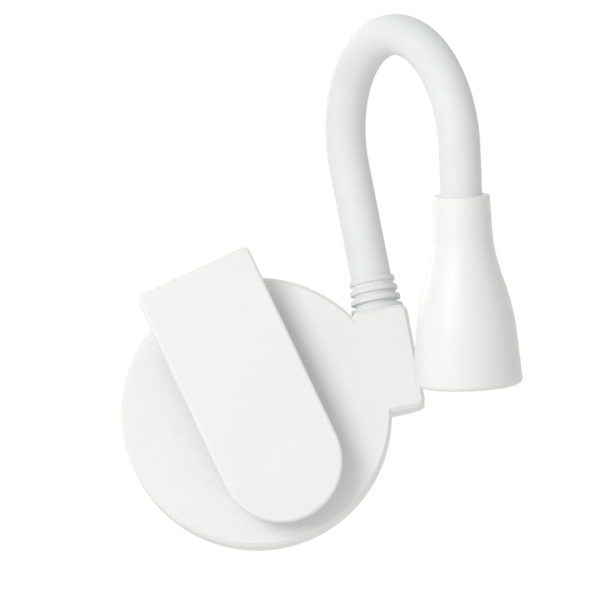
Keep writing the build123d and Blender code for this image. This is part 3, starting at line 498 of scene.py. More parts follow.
@dataclass(frozen=True)
class ResinBoard(Finish):
    """Circuit board under its lacquer, with copper tracks showing through in its shade."""

    roughness: float = 0.35
    coat: float = 0.3
    track_coat: float = 0.2
    track_pitch: float = 1.3 * MM
    track_height: float = 0.02 * MM
    bend: float = 2 * MM
    bend_strength: float = 5.0
    weave: float = 0.12 * MM
    weave_height: float = 0.2
    weave_dulling: float = 0.15

    def mix(self, recipe: Recipe) -> None:
        """Mixes the board.

        Args:
            recipe: Its nodes.
        """
        parts = recipe.node("ShaderNodeSeparateXYZ", inputs={0: recipe.place})
        across = Signal(recipe, parts.outputs[0]) * (2 * pi / self.track_pitch)
        bent = across + recipe.noise(self.bend, detail=0) * self.bend_strength
        tracks = recipe.ramp(bent.wave(), levels=(0.72, 0.78))
        weave = recipe.noise(self.weave, detail=1)
        recipe.paint(
            Coat_Roughness=0.2,
            Coat_Weight=self.coat + tracks * self.track_coat,
            Base_Color=recipe.blend(tracks, self.colour, self.shade),
            Roughness=self.roughness + weave * self.weave_dulling,
            Normal=recipe.relief(tracks + weave * self.weave_height, self.track_height))


@dataclass(frozen=True)
class FrostedLens(Finish):
    """Frosted plastic lens with shallow rings about the lamp's axis."""

    centre: Vector
    axis: Vector
    roughness: float = 0.42
    ring: float = 0.7 * MM
    ring_shade: float = 0.4
    frost: float = 0.15 * MM
    frost_dulling: float = 0.16

    def mix(self, recipe: Recipe) -> None:
        """Mixes the lens.

        Args:
            recipe: Its nodes.
        """
        rings = recipe.rings(self.centre, self.axis, self.ring)
        frost = recipe.noise(self.frost, detail=2)
        under = recipe.relief(rings, depth=0.05 * MM)
        recipe.paint(
            Transmission_Weight=0.3,
            IOR=1.49,
            Base_Color=recipe.blend(rings * self.ring_shade, self.colour, self.shade),
            Roughness=self.roughness + frost * self.frost_dulling,
            Normal=recipe.relief(frost, depth=0.01 * MM, under=under))


@dataclass(frozen=True)
class Reflective(Finish):
    """Vacuum-coated plastic mirror, slightly uneven."""

    roughness: float = 0.06
    cloud: float = 1.5 * MM
    cloud_dulling: float = 0.12

    def mix(self, recipe: Recipe) -> None:
        """Mixes the mirror.

        Args:
            recipe: Its nodes.
        """
        cloud = recipe.noise(self.cloud)
        recipe.paint(
            Metallic=1,
            Base_Color=recipe.blend(cloud, self.colour, self.shade),
            Roughness=self.roughness + cloud * self.cloud_dulling,
            Normal=recipe.relief(recipe.noise(0.6 * MM, detail=1), depth=0.01 * MM))


@dataclass(frozen=True)
class LampGel(Finish):
    """Yellow phosphor gel under a clear dome."""

    roughness: float = 0.3
    coat: float = 0.6
    grain: float = 0.2 * MM
    grain_share: float = 0.2

    def mix(self, recipe: Recipe) -> None:
        """Mixes the gel.

        Args:
            recipe: Its nodes.
        """
        grain = recipe.noise(self.grain, detail=2)
        recipe.paint(
            Coat_Roughness=0.05,
            Coat_Weight=self.coat + grain * self.grain_share,
            Base_Color=recipe.blend(grain, self.colour, self.shade),
            Roughness=self.roughness + grain * self.grain_share,
            Normal=recipe.relief(grain, depth=0.01 * MM))


# Modelling
class Bench:
    """Modelling moves on one mesh at a time."""

    @staticmethod
    def clear() -> None:
        """Leaves nothing selected, in object mode."""
        if bpy.context.mode != "OBJECT":
            bpy.ops.object.mode_set(mode="OBJECT")
        bpy.ops.object.select_all(action="DESELECT")

    @staticmethod
    def take(piece: Object) -> None:
        """Selects a piece alone and makes it active.

        Args:
            piece: The piece.
        """
        Bench.clear()
        piece.select_set(True)
        bpy.context.view_layer.objects.active = piece

    @staticmethod
    @contextmanager
    def editing(piece: Object) -> Iterator[None]:
        """Edit mode on a piece, with nothing in it selected at first.

        Args:
            piece: The piece.
        """
        Bench.take(piece)
        bpy.ops.object.mode_set(mode="EDIT")
        bpy.ops.mesh.select_all(action="DESELECT")
        yield
        bpy.ops.object.mode_set(mode="OBJECT")

    @staticmethod
    def pick(piece: Object, kind: str, test: Callable[[object], bool]) -> None:
        """Selects the faces, edges or vertices that pass a test, in edit mode.

        Args:
            piece: The piece in edit mode.
            kind: FACE, EDGE or VERT.
            test: What is asked of each element.
        """
        bpy.ops.mesh.select_all(action="DESELECT")
        bpy.ops.mesh.select_mode(type=kind)
        mesh = bmesh.from_edit_mesh(piece.data)
        elements = {"FACE": mesh.faces, "EDGE": mesh.edges, "VERT": mesh.verts}[kind]
        for element in elements:
            element.select_set(test(element))
        mesh.select_flush_mode()
        bmesh.update_edit_mesh(piece.data)

    @staticmethod
    def settle(piece: Object, name: str) -> None:
        """Applies a piece's place, closes its seams and turns its faces outwards.

        Args:
            piece: The piece.
            name: Its final name.
        """
        Bench.take(piece)
        bpy.ops.object.transform_apply()
        with Bench.editing(piece):
            bpy.ops.mesh.select_all(action="SELECT")
            bpy.ops.mesh.remove_doubles(threshold=WELD)
            bpy.ops.mesh.normals_make_consistent(inside=False)
        piece.name = piece.data.name = name

    @staticmethod
    def apply(piece: Object, kind: str, **settings: object) -> None:
        """Adds a modifier and applies it.

        Args:
            piece: The piece.
            kind: The modifier's type.
            settings: Its settings.
        """
        Bench.take(piece)
        modifier = piece.modifiers.new(kind.title(), kind)
        for key, value in settings.items():
            setattr(modifier, key, value)
        bpy.ops.object.modifier_apply(modifier=modifier.name)

    @staticmethod
    def smooth(piece: Object) -> None:
        """Shades a piece smooth, apart from its sharp edges.

        Args:
            piece: The piece.
        """
        Bench.take(piece)
        bpy.ops.object.shade_smooth_by_angle(angle=SMOOTH_ANGLE)

    @staticmethod
    def turn(name: str, outline: list[Point], centre: Vector, axis: Vector, steps: int = 96) -> Object:
        """A turned solid, spun from a closed half-section.

        Args:
            name: The piece's name.
            outline: Radius and height of each corner, in order round the section.
            centre: Where height 0 lies on the axis.
            axis: The axis.
            steps: Number of facets round the axis.

        Returns:
            The piece.
        """
        Bench.clear()
        bpy.ops.mesh.primitive_plane_add(size=MM)
        piece = bpy.context.object
        with Bench.editing(piece):
            bpy.ops.mesh.select_all(action="SELECT")
            bpy.ops.mesh.merge(type="CENTER")
            bpy.ops.transform.translate(value=(outline[0][0], 0, outline[0][1]))
            for (radius, height), (wider, higher) in zip(outline, [*outline[1:], outline[0]]):
                move = {"value": (wider - radius, 0, higher - height)}
                bpy.ops.mesh.extrude_region_move(TRANSFORM_OT_translate=move)
            bpy.ops.mesh.select_all(action="SELECT")
            bpy.ops.mesh.spin(steps=steps, angle=2 * pi, center=(0, 0, 0), axis=(0, 0, 1))
        piece.rotation_euler = axis.to_track_quat("Z", "Y").to_euler()
        piece.location = centre
        Bench.settle(piece, name)
        Bench.smooth(piece)
        return piece


def arc(middle: Point, radius: float, start: float, end: float, steps: int) -> list[Point]:
    """Points of a round stretch of an outline, both ends included.

    Args:
        middle: The arc's centre.
        radius: Its radius.
        start: Angle of its first point, in degrees.
        end: Angle of its last point, in degrees.
        steps: Number of chords.

    Returns:
        The points.
    """
    angles = [radians(start + (end - start) * i / steps) for i in range(steps + 1)]
    return [(middle[0] + radius * cos(a), middle[1] + radius * sin(a)) for a in angles]


def curve(points: list[Point], steps: int) -> list[Point]:
    """Points of a cubic Bezier stretch of an outline, both ends included.

    Args:
        points: Its four control points.
        steps: Number of chords.

    Returns:
        The points.
    """
    shares = [i / steps for i in range(steps + 1)]
    weights = [((1 - t) ** 3, 3 * t * (1 - t) ** 2, 3 * t * t * (1 - t), t**3) for t in shares]
    return [tuple(sum(w * p[i] for w, p in zip(row, points)) for i in (0, 1)) for row in weights]


def finish_piece(piece: Object, material: Material, slot: Slot | None = None) -> None:
    """Gives a piece its one material.

    Args:
        piece: The piece.
        material: The material.
        slot: Not used.
    """
    piece.data.materials.clear()
    piece.data.materials.append(material)


# Sub-assemblies
class NeckLine:
    """Centreline of the neck: a straight leg from the first joint, a round loop and a short leg."""

    def __init__(self) -> None:
        """Works the line out from the places and axes of the joints."""
        joints = {joint["name"]: joint for joint in frame["joints"]}
        curls = sorted(name for name in joints if name.startswith("neck_curl_"))
        self.foot = Vector(joints["neck_sway"]["pos_m"])
        self.out = Vector(joints["neck_sway"]["axis"]).normalized()
        self.hinge = Vector(joints[curls[0]]["axis"]).normalized()
        self.up = self.out.cross(self.hinge)
        self.head = Vector(joints["head_aim"]["pos_m"])
        self.knuckles = [Vector(joints[name]["pos_m"]) for name in curls]
        first, second, third = self.knuckles[:3]
        self.step = (second - first).angle(third - second)
        self.radius = (second - first).length / (2 * sin(self.step / 2))
        sagitta = second - (first + third) / 2
        self.centre = second - sagitta.normalized() * self.radius
        self.sweep = self.step * len(curls)
        self.loop_start = (self.centre - self.foot).dot(self.up)
        self.loop_end = self.loop_start + self.radius * self.sweep

    def angle(self, distance: float) -> float:
        """How far the line has turned at a distance past the first joint, in radians."""
        return min(max((distance - self.loop_start) / self.radius, 0), self.sweep)

    def heading(self, distance: float) -> Vector:
        """Direction of the line at a distance past the first joint."""
        angle = self.angle(distance)
        return self.out * sin(angle) + self.up * cos(angle)

    def point(self, distance: float) -> Vector:
        """Point of the line.

        Args:
            distance: Distance past the first joint, in metres.

        Returns:
            The point.
        """
        angle = self.angle(distance)
        spoke = self.up * sin(angle) - self.out * cos(angle)
        straight = distance - self.loop_start - angle * self.radius
        return self.centre + spoke * self.radius + self.heading(distance) * straight

    def knuckle_distance(self, index: int) -> float:
        """Distance of a curl joint past the first joint, in metres."""
        return self.loop_start + self.radius * self.step * (index + 0.5)

    @property
    def end(self) -> float:
        """Distance of the head's joint past the first joint, in metres."""
        last_leg = self.head - self.point(self.loop_end)
        return self.loop_end + last_leg.dot(self.heading(self.loop_end))


@dataclass
class Neck:
    """Silicone sleeve over the neck's joints, and the strain relief at its foot."""

    line: NeckLine
    radius: float = 3.0 * MM
    wall: float = 0.6 * MM
    ring: float = 0.45 * MM
    facets: int = 56
    foot_reach: float = 12.8 * MM
    foot_bend: tuple[float, float] = (-1.0 * MM, 4.0 * MM)
    head_bend: tuple[float, float] = (-2.6 * MM, 2.6 * MM)
    head_reach: float = 9.5 * MM
    bend_margin: float = 0.9 * MM
    boot_bottom: float = -8.8 * MM
    boot_flange: float = 3.6 * MM
    boot_flange_thick: float = 1.0 * MM
    boot_waist: float = 3.4 * MM
    boot_shoulder_at: float = -6.5 * MM
    boot_shoulder: float = 3.9 * MM
    boot_top: float = -1.4 * MM
    boot_tip: float = 3.32 * MM
    boot_ribs: int = 4
    rib_gap: float = 0.62 * MM
    rib_round: float = 0.18 * MM
    rib_steps: int = 4

    def sleeve(self, name: str, start: float, end: float) -> Object:
        """One stretch of sleeve, swept along the line and given its wall.

        Args:
            name: The piece's name.
            start: Where it starts, past the first joint.
            end: Where it ends.

        Returns:
            The piece.
        """
        line = self.line
        heading = line.heading(start)
        turn = Matrix((line.hinge, heading.cross(line.hinge), heading)).transposed().to_euler()
        bend = (min(end, line.loop_end) - max(start, line.loop_start)) / line.radius
        Bench.clear()
        bpy.ops.mesh.primitive_circle_add(
            vertices=self.facets, radius=self.radius, location=line.point(start), rotation=turn)
        piece = bpy.context.object
        bpy.ops.object.transform_apply()
        with Bench.editing(piece):
            bpy.ops.mesh.select_all(action="SELECT")
            self.extrude_straight(start, min(end, line.loop_start))
            if bend > 0:
                bpy.ops.mesh.spin(
                    steps=ceil(bend * line.radius / self.ring), angle=-bend,
                    center=line.centre, axis=line.hinge)
            self.extrude_straight(max(start, line.loop_end), end)
        Bench.settle(piece, name)
        Bench.apply(piece, "SOLIDIFY", thickness=self.wall, offset=-1.0)
        Bench.smooth(piece)
        return piece

    def extrude_straight(self, start: float, end: float) -> None:
        """Extrudes the selected ring along a straight leg, in edit mode, if the leg has any length.

        Args:
            start: Where the leg starts, past the first joint.
            end: Where it ends.
        """
        if end - start <= WELD:
            return
        steps = ceil((end - start) / self.ring)
        move = self.line.heading((start + end) / 2) * ((end - start) / steps)
        for _ in range(steps):
            bpy.ops.mesh.extrude_region_move(TRANSFORM_OT_translate={"value": move})

    def build_sleeve(self, material: Material) -> None:
        """Makes the sleeve, one stretch over each joint, joined in the middle of each link.

        Args:
            material: Its material.
        """
        line = self.line
        knuckles = [line.knuckle_distance(i) for i in range(len(line.knuckles))]
        half_link = line.radius * line.step / 2
        joints = [0.0, *knuckles, line.end]
        reach = half_link - self.bend_margin
        bends = [self.foot_bend, *[(-reach, reach)] * len(knuckles), self.head_bend]
        cuts = [-self.foot_reach, *[d - half_link for d in knuckles], knuckles[-1] + half_link]
        cuts += [line.end + self.head_reach]
        bodies = ["housing", *[f"neck_{i + 1}" for i in range(len(joints) - 1)], "head"]
        for i, (joint, (before, after)) in enumerate(zip(joints, bends)):
            piece = self.sleeve(f"sleeve_bend_{i}", cuts[i], cuts[i + 1])
            finish_piece(piece, material, Slot.SLEEVE)
            start, end = line.point(joint + before), line.point(joint + after)
            bodies[i + 1]
            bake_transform(piece)
            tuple(start)
            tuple(end)
            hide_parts(f"neck_sleeve_{i}", f"neck_sleeve_{i + 1}")
            log.info("sleeve bend %d: %s", i, piece.name)

    def build_boot(self, material: Material) -> None:
        """Makes the strain relief: a flange, a waist and a tapered body of rounded ribs.

        Args:
            material: Its material.
        """
        flange_top = self.boot_bottom + self.boot_flange_thick
        outline = [
            (self.radius, self.boot_bottom), (self.boot_flange, self.boot_bottom),
            (self.boot_flange, flange_top), (self.boot_waist, flange_top),
            (self.boot_waist, self.boot_shoulder_at)]
        pitch = (self.boot_top - self.boot_shoulder_at + self.rib_gap) / self.boot_ribs
        r = self.rib_round
        for rib in range(self.boot_ribs):
            bottom = self.boot_shoulder_at + pitch * rib
            top = bottom + pitch - self.rib_gap
            share = (bottom - self.boot_shoulder_at) / (self.boot_top - self.boot_shoulder_at)
            edge = self.boot_shoulder + (self.boot_tip - self.boot_shoulder) * share
            outline += arc((edge - r, bottom + r), r, -90, 0, self.rib_steps)
            outline += arc((edge - r, top - r), r, 0, 90, self.rib_steps)
            if rib < self.boot_ribs - 1:
                outline += [(self.boot_tip - r, top), (self.boot_tip - r, top + self.rib_gap)]
        outline += [(self.radius, self.boot_top)]
        piece = Bench.turn("strain_relief", outline, self.line.foot, self.line.up)
        finish_piece(piece, material, Slot.SLEEVE)
        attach(piece, "housing")
        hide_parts("neck_boot")
        log.info("strain relief: %d ribs", self.boot_ribs)


@dataclass
class LampHead:
    """Bell-shaped shell of the head, and the lens in its mouth."""

    line: NeckLine
    collar_offset: float = 3.0 * MM
    length: float = 27.6 * MM
    collar_radius: float = 4.1 * MM
    collar_end: float = 4.3 * MM
    collar_length: float = 5.5 * MM
    collar_round: float = 0.4 * MM
    flare_end: float = 20.0 * MM
    flare_radius: float = 7.3 * MM
    mouth_radius: float = 7.9 * MM
    start_pull: float = 5.4 * MM
    end_pull: float = 6.5 * MM
    rim_round: float = 0.8 * MM
    wall: float = 1.2 * MM
    sleeve_radius: float = 3.0 * MM
    shoulder: float = 6.5 * MM
    throat_radius: float = 3.45 * MM
    throat_end: float = 9.0 * MM
    seat: float = 12.0 * MM
    seat_radius: float = 4.75 * MM
    seat_ledge: float = 0.4 * MM
    seat_depth: float = 1.0 * MM
    lens_seat: float = 24.4 * MM
    lens_bore: float = 6.9 * MM
    lens_ledge: float = 0.5 * MM
    lens_radius: float = 6.85 * MM
    lens_thick: float = 1.2 * MM
    lens_crown: float = 0.35 * MM
    lens_face: float = 5.85 * MM
    facets: int = 144
    collar_steps: int = 6
    flare_steps: int = 28
    rim_steps: int = 8
    crown_steps: int = 12

    @property
    def top(self) -> Vector:
        """Where the collar starts, on the head's axis."""
        return self.line.head + self.axis * self.collar_offset

    @property
    def axis(self) -> Vector:
        """The head's axis, towards its mouth."""
        return self.line.heading(self.line.end)

    def build_shell(self, material: Material) -> None:
        """Makes the shell: collar, flare and rim outside, and its stepped bore inside.

        Args:
            material: Its material.
        """
        slope = (self.collar_end - self.collar_radius) / self.collar_length
        spread = (self.mouth_radius - self.flare_radius) / (self.length - self.rim_round - self.flare_end)
        outline = [(self.sleeve_radius, 0.0)]
        edge = (self.collar_radius - self.collar_round, self.collar_round)
        outline += arc(edge, self.collar_round, -90, 0, self.collar_steps)
        outline += curve([
            (self.collar_end, self.collar_length),
            (self.collar_end + slope * self.start_pull, self.collar_length + self.start_pull),
            (self.flare_radius - spread * self.end_pull, self.flare_end - self.end_pull),
            (self.flare_radius, self.flare_end)], self.flare_steps)
        rim = (self.mouth_radius - self.rim_round, self.length - self.rim_round)
        outline += arc(rim, self.rim_round, 0, 90, self.rim_steps)
        outline += [
            (self.lens_bore, self.length), (self.lens_bore, self.lens_seat),
            (self.lens_bore - self.lens_ledge, self.lens_seat),
            (self.flare_radius - self.wall, self.flare_end),
            (self.seat_radius, self.seat + self.seat_depth), (self.seat_radius, self.seat),
            (self.seat_radius - self.seat_ledge, self.seat), (self.throat_radius, self.throat_end),
            (self.throat_radius, self.shoulder), (self.sleeve_radius, self.shoulder)]
        piece = Bench.turn("head_bell", outline, self.top, self.axis, self.facets)
        finish_piece(piece, material, Slot.SHELL)
        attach(piece, "head")
        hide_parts("head_shell")
        log.info("head bell: %.1f mm long", self.length / MM)

    def build_lens(self) -> None:
        """Makes the lens: a rimmed disc with a low crown in front."""
        front = self.lens_seat + self.lens_thick
        crown = (self.lens_face**2 + self.lens_crown**2) / (2 * self.lens_crown)
        reach = degrees(asin(self.lens_face / crown))
        dome = arc((0, front + self.lens_crown - crown), crown, 90 - reach, 90, self.crown_steps)
        outline = [(0, self.lens_seat), (self.lens_radius, self.lens_seat), (self.lens_radius, front), *dome]
        piece = Bench.turn("lens_disc", outline, self.top, self.axis)
        lens = FrostedLens("frosted lens", (0.93, 0.94, 0.94), (0.84, 0.86, 0.87), self.top, self.axis)
        finish_piece(piece, lens.make(), Slot.LENS)
        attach(piece, "head")
        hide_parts("lens")
        log.info("lens: %.1f mm across", 2 * self.lens_radius / MM)


@dataclass
class Clip:
    """Soft grip pads and the wound spring of the clip."""

    ridge_pitch: float = 2.2 * MM
    groove: float = 0.8 * MM
    groove_depth: float = 0.3 * MM
    grooves: int = 5
    ridge_round: float = 0.09 * MM
    wire: float = 0.25 * MM
    turns: float = 4.5
    leg_front: float = 5.0 * MM
    leg_rear: float = 3.0 * MM
    points_per_turn: int = 16
    wire_chords: int = 4
    wire_roundness: int = 4
    pad_facets: int = 96
    ridge_steps: int = 3
    least_normal: float = 0.9

    def build_pad(self, node: str, body: str, material: Material) -> None:
        """Makes a round pad with rounded ridges across its gripping face.

        Args:
            node: The pad's node.
            body: The body that it rides on.
            material: Its material.
        """
        low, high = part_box(node)
        centre = (low + high) / 2
        facing = 1 if centre.y < 0 else -1
        radius, thick = (high.x - low.x) / 2, high.y - low.y
        Bench.clear()
        bpy.ops.mesh.primitive_cylinder_add(
            vertices=self.pad_facets, radius=radius, depth=thick - self.groove_depth,
            location=centre - Vector((0, facing * self.groove_depth / 2, 0)),
            rotation=(-facing * pi / 2, 0, 0))
        piece = bpy.context.object
        bpy.ops.object.transform_apply()
        face = centre.y + facing * (thick / 2 - self.groove_depth)
        first = centre.z - self.ridge_pitch * (self.grooves - 1) / 2
        middles = [first + self.ridge_pitch * i for i in range(self.grooves)]
        edges = [middle + side * self.groove / 2 for middle in middles for side in (-1, 1)]
        with Bench.editing(piece):
            for z in edges:
                bpy.ops.mesh.select_all(action="SELECT")
                bpy.ops.mesh.bisect(plane_co=(0, 0, z), plane_no=(0, 0, 1))
            Bench.pick(piece, "FACE", lambda f: self.is_ridge(f, face, edges))
            move = {"value": (0, facing * self.groove_depth, 0)}
            bpy.ops.mesh.extrude_region_move(TRANSFORM_OT_translate=move)
            top = face + facing * self.groove_depth
            Bench.pick(piece, "EDGE", lambda e: self.is_rim(e, top))
            bpy.ops.mesh.bevel(
                offset=self.ridge_round, segments=self.ridge_steps, profile=0.5, affect="EDGES")
        Bench.settle(piece, node.replace("grip_pad", "grip"))
        Bench.smooth(piece)
        finish_piece(piece, material, Slot.GRIP)
        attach(piece, body)
        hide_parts(node)
        log.info("%s: %d grooves", piece.name, self.grooves)

    def is_flat(self, face: bmesh.types.BMFace) -> bool:
        """Whether a face lies across the pads' thickness."""
        return abs(face.normal.y) > self.least_normal

    def is_ridge(self, face: bmesh.types.BMFace, level: float, edges: list[float]) -> bool:
        """Whether a face is the top of a ridge, between two grooves.

        Args:
            face: The face.
            level: Where the grooves' floor lies, along Y.
            edges: Heights of the grooves' sides, from the lowest.

        Returns:
            The answer.
        """
        middle = face.calc_center_median()
        below = sum(middle.z > z for z in edges)
        return abs(middle.y - level) < WELD and self.is_flat(face) and below % 2 == 0

    def is_rim(self, edge: bmesh.types.BMEdge, level: float) -> bool:
        """Whether an edge is on the rim of a ridge's top."""
        on_top = all(abs(v.co.y - level) < WELD for v in edge.verts)
        return on_top and sum(self.is_flat(face) for face in edge.link_faces) == 1

    def build_spring(self, material: Material) -> None:
        """Winds the spring about the hinge pin, with one leg on the housing and one on the paddle.

        Args:
            material: Its material.
        """
        low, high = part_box("clip_spring")
        pin_low, pin_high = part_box("hinge_pin")
        pin = (pin_low + pin_high) / 2
        radius = pin.y - low.y - self.wire
        width = high.x - low.x - 2 * self.wire
        count = round(self.turns * self.points_per_turn)
        angles = [pi + 2 * pi * self.turns * i / count for i in range(count + 1)]
        coil = [
            Vector((low.x + self.wire + width * i / count, pin.y + radius * cos(a), pin.z + radius * sin(a)))
            for i, a in enumerate(angles)]
        up = Vector((0, 0, 1))
        legs = [coil[0] + up * self.leg_front * share for share in (1, 0.5)]
        tails = [coil[-1] + up * self.leg_rear * share for share in (0.5, 1)]
        route = [*legs, *coil, *tails]
        Bench.clear()
        bpy.ops.curve.primitive_nurbs_path_add()
        piece = bpy.context.object
        spline = piece.data.splines[0]
        spline.points.add(len(route) - len(spline.points))
        for place, target in zip(spline.points, route):
            place.co = (*target, 1)
        spline.order_u = 3
        spline.use_endpoint_u = True
        piece.data.bevel_depth = self.wire
        piece.data.bevel_resolution = self.wire_roundness
        piece.data.resolution_u = self.wire_chords
        piece.data.use_fill_caps = True
        bpy.ops.object.convert(target="MESH")
        piece = bpy.context.object
        Bench.settle(piece, "wound_spring")
        Bench.smooth(piece)
        finish_piece(piece, material, Slot.SPRING)
        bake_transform(piece)
        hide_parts("clip_spring")
        log.info("spring: %.1f turns", self.turns)


class Dressing:
    """Finishes of the nodes that are shown as the frame has them."""

    def __init__(self, line: NeckLine) -> None:
        """Makes the materials, and says which nodes each is for by the starts of their names.

        Args:
            line: The neck's centreline.
        """
        cell_low, cell_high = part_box("coin_cell_rear")
        cell = (cell_low + cell_high) / 2
        depth, upright = Vector((0, 1, 0)), Vector((0, 0, 1))
        self.shell = MouldedPlastic("white shell", (0.872, 0.872, 0.866), (0.852, 0.853, 0.848)).make()
        self.sleeve = Silicone("white silicone", (0.82, 0.824, 0.822), (0.795, 0.80, 0.80)).make()
        self.grip = Silicone("grip silicone", (0.66, 0.67, 0.67), (0.62, 0.63, 0.635)).make()
        self.wire = BrushedMetal("spring steel", (0.56, 0.57, 0.59), (0.42, 0.42, 0.43)).make()
        finishes = {
            ("switch_knob",): MouldedPlastic(
                "switch grip", (0.80, 0.805, 0.805), (0.78, 0.78, 0.785), roughness=0.36),
            ("switch_body", "led_resistor"): MouldedPlastic(
                "black resin", (0.02, 0.02, 0.022), (0.03, 0.03, 0.03), roughness=0.5),
            ("circuit_board",): ResinBoard("green board", (0.02, 0.11, 0.05), (0.05, 0.20, 0.09)),
            ("led_board",): ResinBoard("lamp board", (0.80, 0.80, 0.78), (0.72, 0.72, 0.70)),
            ("led",): LampGel("lamp gel", (0.90, 0.74, 0.16), (0.82, 0.62, 0.08)),
            ("reflector",): Reflective("mirror coat", (0.86, 0.86, 0.87), (0.80, 0.80, 0.82)),
            ("coin_cell",): SpunMetal("cell can", (0.74, 0.75, 0.77), (0.62, 0.63, 0.64), cell, depth),
            ("negative_contact", "positive_contact"): BrushedMetal(
                "contact strip", (0.78, 0.66, 0.40), (0.60, 0.47, 0.26), along=upright),
            ("housing_screws", "hinge_pin"): BrushedMetal(
                "zinc plate", (0.66, 0.67, 0.69), (0.52, 0.53, 0.56)),
            ("neck_link", "neck_ferrule", "head_stub"): SpunMetal(
                "link alloy", (0.70, 0.71, 0.72), (0.58, 0.59, 0.6), line.foot, line.up),
            ("neck_lead",): Silicone("lead jacket", (0.55, 0.03, 0.025), (0.48, 0.025, 0.02))}
        self.families = {starts: finish.make() for starts, finish in finishes.items()}
        self.families["neck_sleeve", "neck_boot"] = self.sleeve
        self.families["plate_grip_pad", "paddle_grip_pad"] = self.grip
        self.families[("clip_spring",)] = self.wire

    def choose(self, node: str) -> Material:
        """The material of a node, which is the shell's where no family has its name."""
        return next((made for starts, made in self.families.items() if node.startswith(starts)), self.shell)

    def dress(self) -> None:
        """Gives every node its material."""
        for name, node in sorted(frame["nodes"].items()):
            finish_piece(node, self.choose(name))
        log.info("dressed %d nodes", len(frame["nodes"]))


# Studio
@dataclass(frozen=True)
class Lamp:
    """A soft square lamp aimed at the object, with its angles in degrees and its lengths in metres.

    Its level is how bright it makes a white face turned to it, where 1 is white.
    """

    name: str
    azimuth: float
    elevation: float
    away: float
    size: float
    level: float


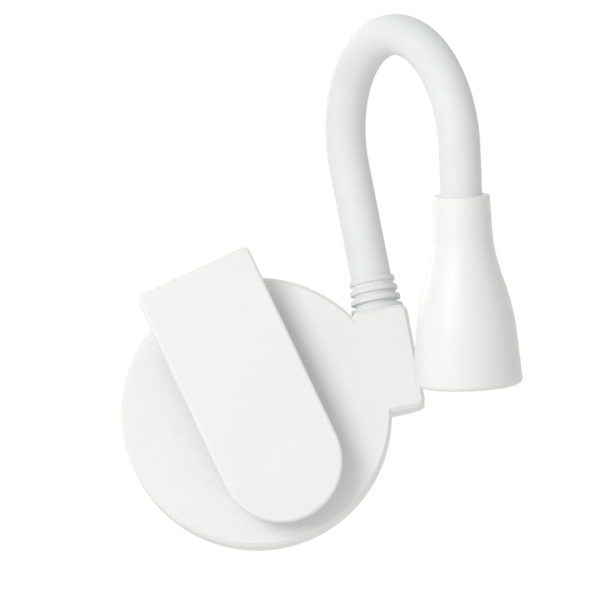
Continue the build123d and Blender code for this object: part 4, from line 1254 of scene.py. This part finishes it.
@dataclass
class Studio:
    """Camera at the photograph's viewing angle, soft lamps, a pale floor and a white surround."""

    azimuth: float = -3.0
    elevation: float = -7.0
    roll: float = 25.4
    distance: float = 0.7
    view_width: float = 88 * MM
    sensor: float = 36.0
    nearest: float = 0.01
    aim: tuple[float, float, float] = (12.5 * MM, -6 * MM, 11.5 * MM)
    lamps: tuple[Lamp, ...] = (
        Lamp("key", azimuth=-28, elevation=25, away=0.6, size=0.3, level=0.47),
        Lamp("back", azimuth=200, elevation=35, away=0.8, size=0.5, level=0.25))
    floor_height: float = -0.1
    floor_size: float = 8.0
    floor_colour: Colour = (0.86, 0.86, 0.85)
    floor_shade: Colour = (0.83, 0.83, 0.825)
    floor_cloud: float = 0.4
    floor_white: float = 0.6
    floor_fade: Levels = (0.1, 0.9)
    ambient: float = 0.56

    def direction(self, azimuth: float, elevation: float) -> Vector:
        """Direction from the object towards a viewer or lamp, from angles in degrees."""
        a, e = radians(azimuth), radians(elevation)
        return Vector((sin(a) * cos(e), -cos(a) * cos(e), sin(e)))

    def build_camera(self) -> None:
        """Places the camera, rolled as the photograph is."""
        back = self.direction(self.azimuth, self.elevation)
        Bench.clear()
        bpy.ops.object.camera_add(location=Vector(self.aim) + back * self.distance)
        camera = bpy.context.object
        camera.name = "photo_camera"
        upright = (-back).to_track_quat("-Z", "Y")
        camera.rotation_euler = (upright @ Quaternion((0, 0, 1), -radians(self.roll))).to_euler()
        camera.data.sensor_width = self.sensor
        camera.data.lens = self.sensor * self.distance / self.view_width
        camera.data.clip_start = self.nearest
        bpy.context.scene.camera = camera

    def add_lamp(self, lamp: Lamp) -> None:
        """Adds a lamp.

        Args:
            lamp: The lamp.
        """
        towards = self.direction(lamp.azimuth, lamp.elevation)
        turn = (-towards).to_track_quat("-Z", "Y").to_euler()
        place = Vector(self.aim) + towards * lamp.away
        Bench.clear()
        bpy.ops.object.light_add(type="AREA", location=place, rotation=turn)
        made = bpy.context.object
        made.name = lamp.name
        made.data.size = lamp.size
        made.data.energy = lamp.level * (pi * lamp.away) ** 2

    def build_world(self) -> None:
        """Makes the surround: white to the eye, in gloss and through glass, and softer as a light."""
        world = bpy.context.scene.world or bpy.data.worlds.new("surround")
        bpy.context.scene.world = world
        world.use_nodes = True
        graph = Graph(world.node_tree)
        lit, shown = (
            graph.node("ShaderNodeBackground", inputs={"Color": (1, 1, 1), "Strength": strength}).outputs[0]
            for strength in (self.ambient, 1.0))
        mixed = graph.node("ShaderNodeMixShader", inputs={0: graph.seen(), 1: lit, 2: shown}).outputs[0]
        graph.node("ShaderNodeOutputWorld", inputs={"Surface": mixed})

    def build_floor(self) -> None:
        """Lays the floor well below the object: pale, with the object's shadow, and white far away."""
        Bench.clear()
        bpy.ops.mesh.primitive_plane_add(size=self.floor_size, location=(0, 0, self.floor_height))
        floor = bpy.context.object
        floor.name = "floor"
        bpy.ops.object.transform_apply()
        recipe = Recipe("pale floor")
        recipe.paint(
            Specular_IOR_Level=0.1,
            Base_Color=recipe.blend(recipe.noise(self.floor_cloud), self.floor_colour, self.floor_shade),
            Roughness=0.9)
        white = recipe.node("ShaderNodeEmission", inputs={"Color": (1, 1, 1), "Strength": 1.0}).outputs[0]
        distance = recipe.distance_from(Vector((0, 0, 0)), Vector((0, 0, 1)))
        share = recipe.seen() * recipe.ramp(distance, self.floor_fade, low=self.floor_white)
        mixed = recipe.node("ShaderNodeMixShader", inputs={0: share, 1: recipe.shader.outputs[0], 2: white})
        recipe.feed(recipe.surface, mixed.outputs[0])
        floor.data.materials.append(recipe.material)

    def build(self) -> None:
        """Sets up the camera, the lamps, the surround and the floor."""
        self.build_camera()
        for lamp in self.lamps:
            self.add_lamp(lamp)
        self.build_world()
        self.build_floor()
        bpy.context.scene.view_settings.view_transform = "Standard"
        log.info("studio ready")


def main() -> None:
    """Builds the scene round the frame."""
    logging.basicConfig(level=logging.INFO, format="%(message)s")
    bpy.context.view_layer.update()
    Studio().build()
    line = NeckLine()
    dressing = Dressing(line)
    dressing.dress()
    neck = Neck(line)
    neck.build_sleeve(dressing.sleeve)
    neck.build_boot(dressing.sleeve)
    head = LampHead(line)
    head.build_shell(dressing.shell)
    head.build_lens()
    clip = Clip()
    clip.build_pad("plate_grip_pad", "housing", dressing.grip)
    clip.build_pad("paddle_grip_pad", "clip", dressing.grip)
    clip.build_spring(dressing.wire)


if __name__ == "__main__":
    main()
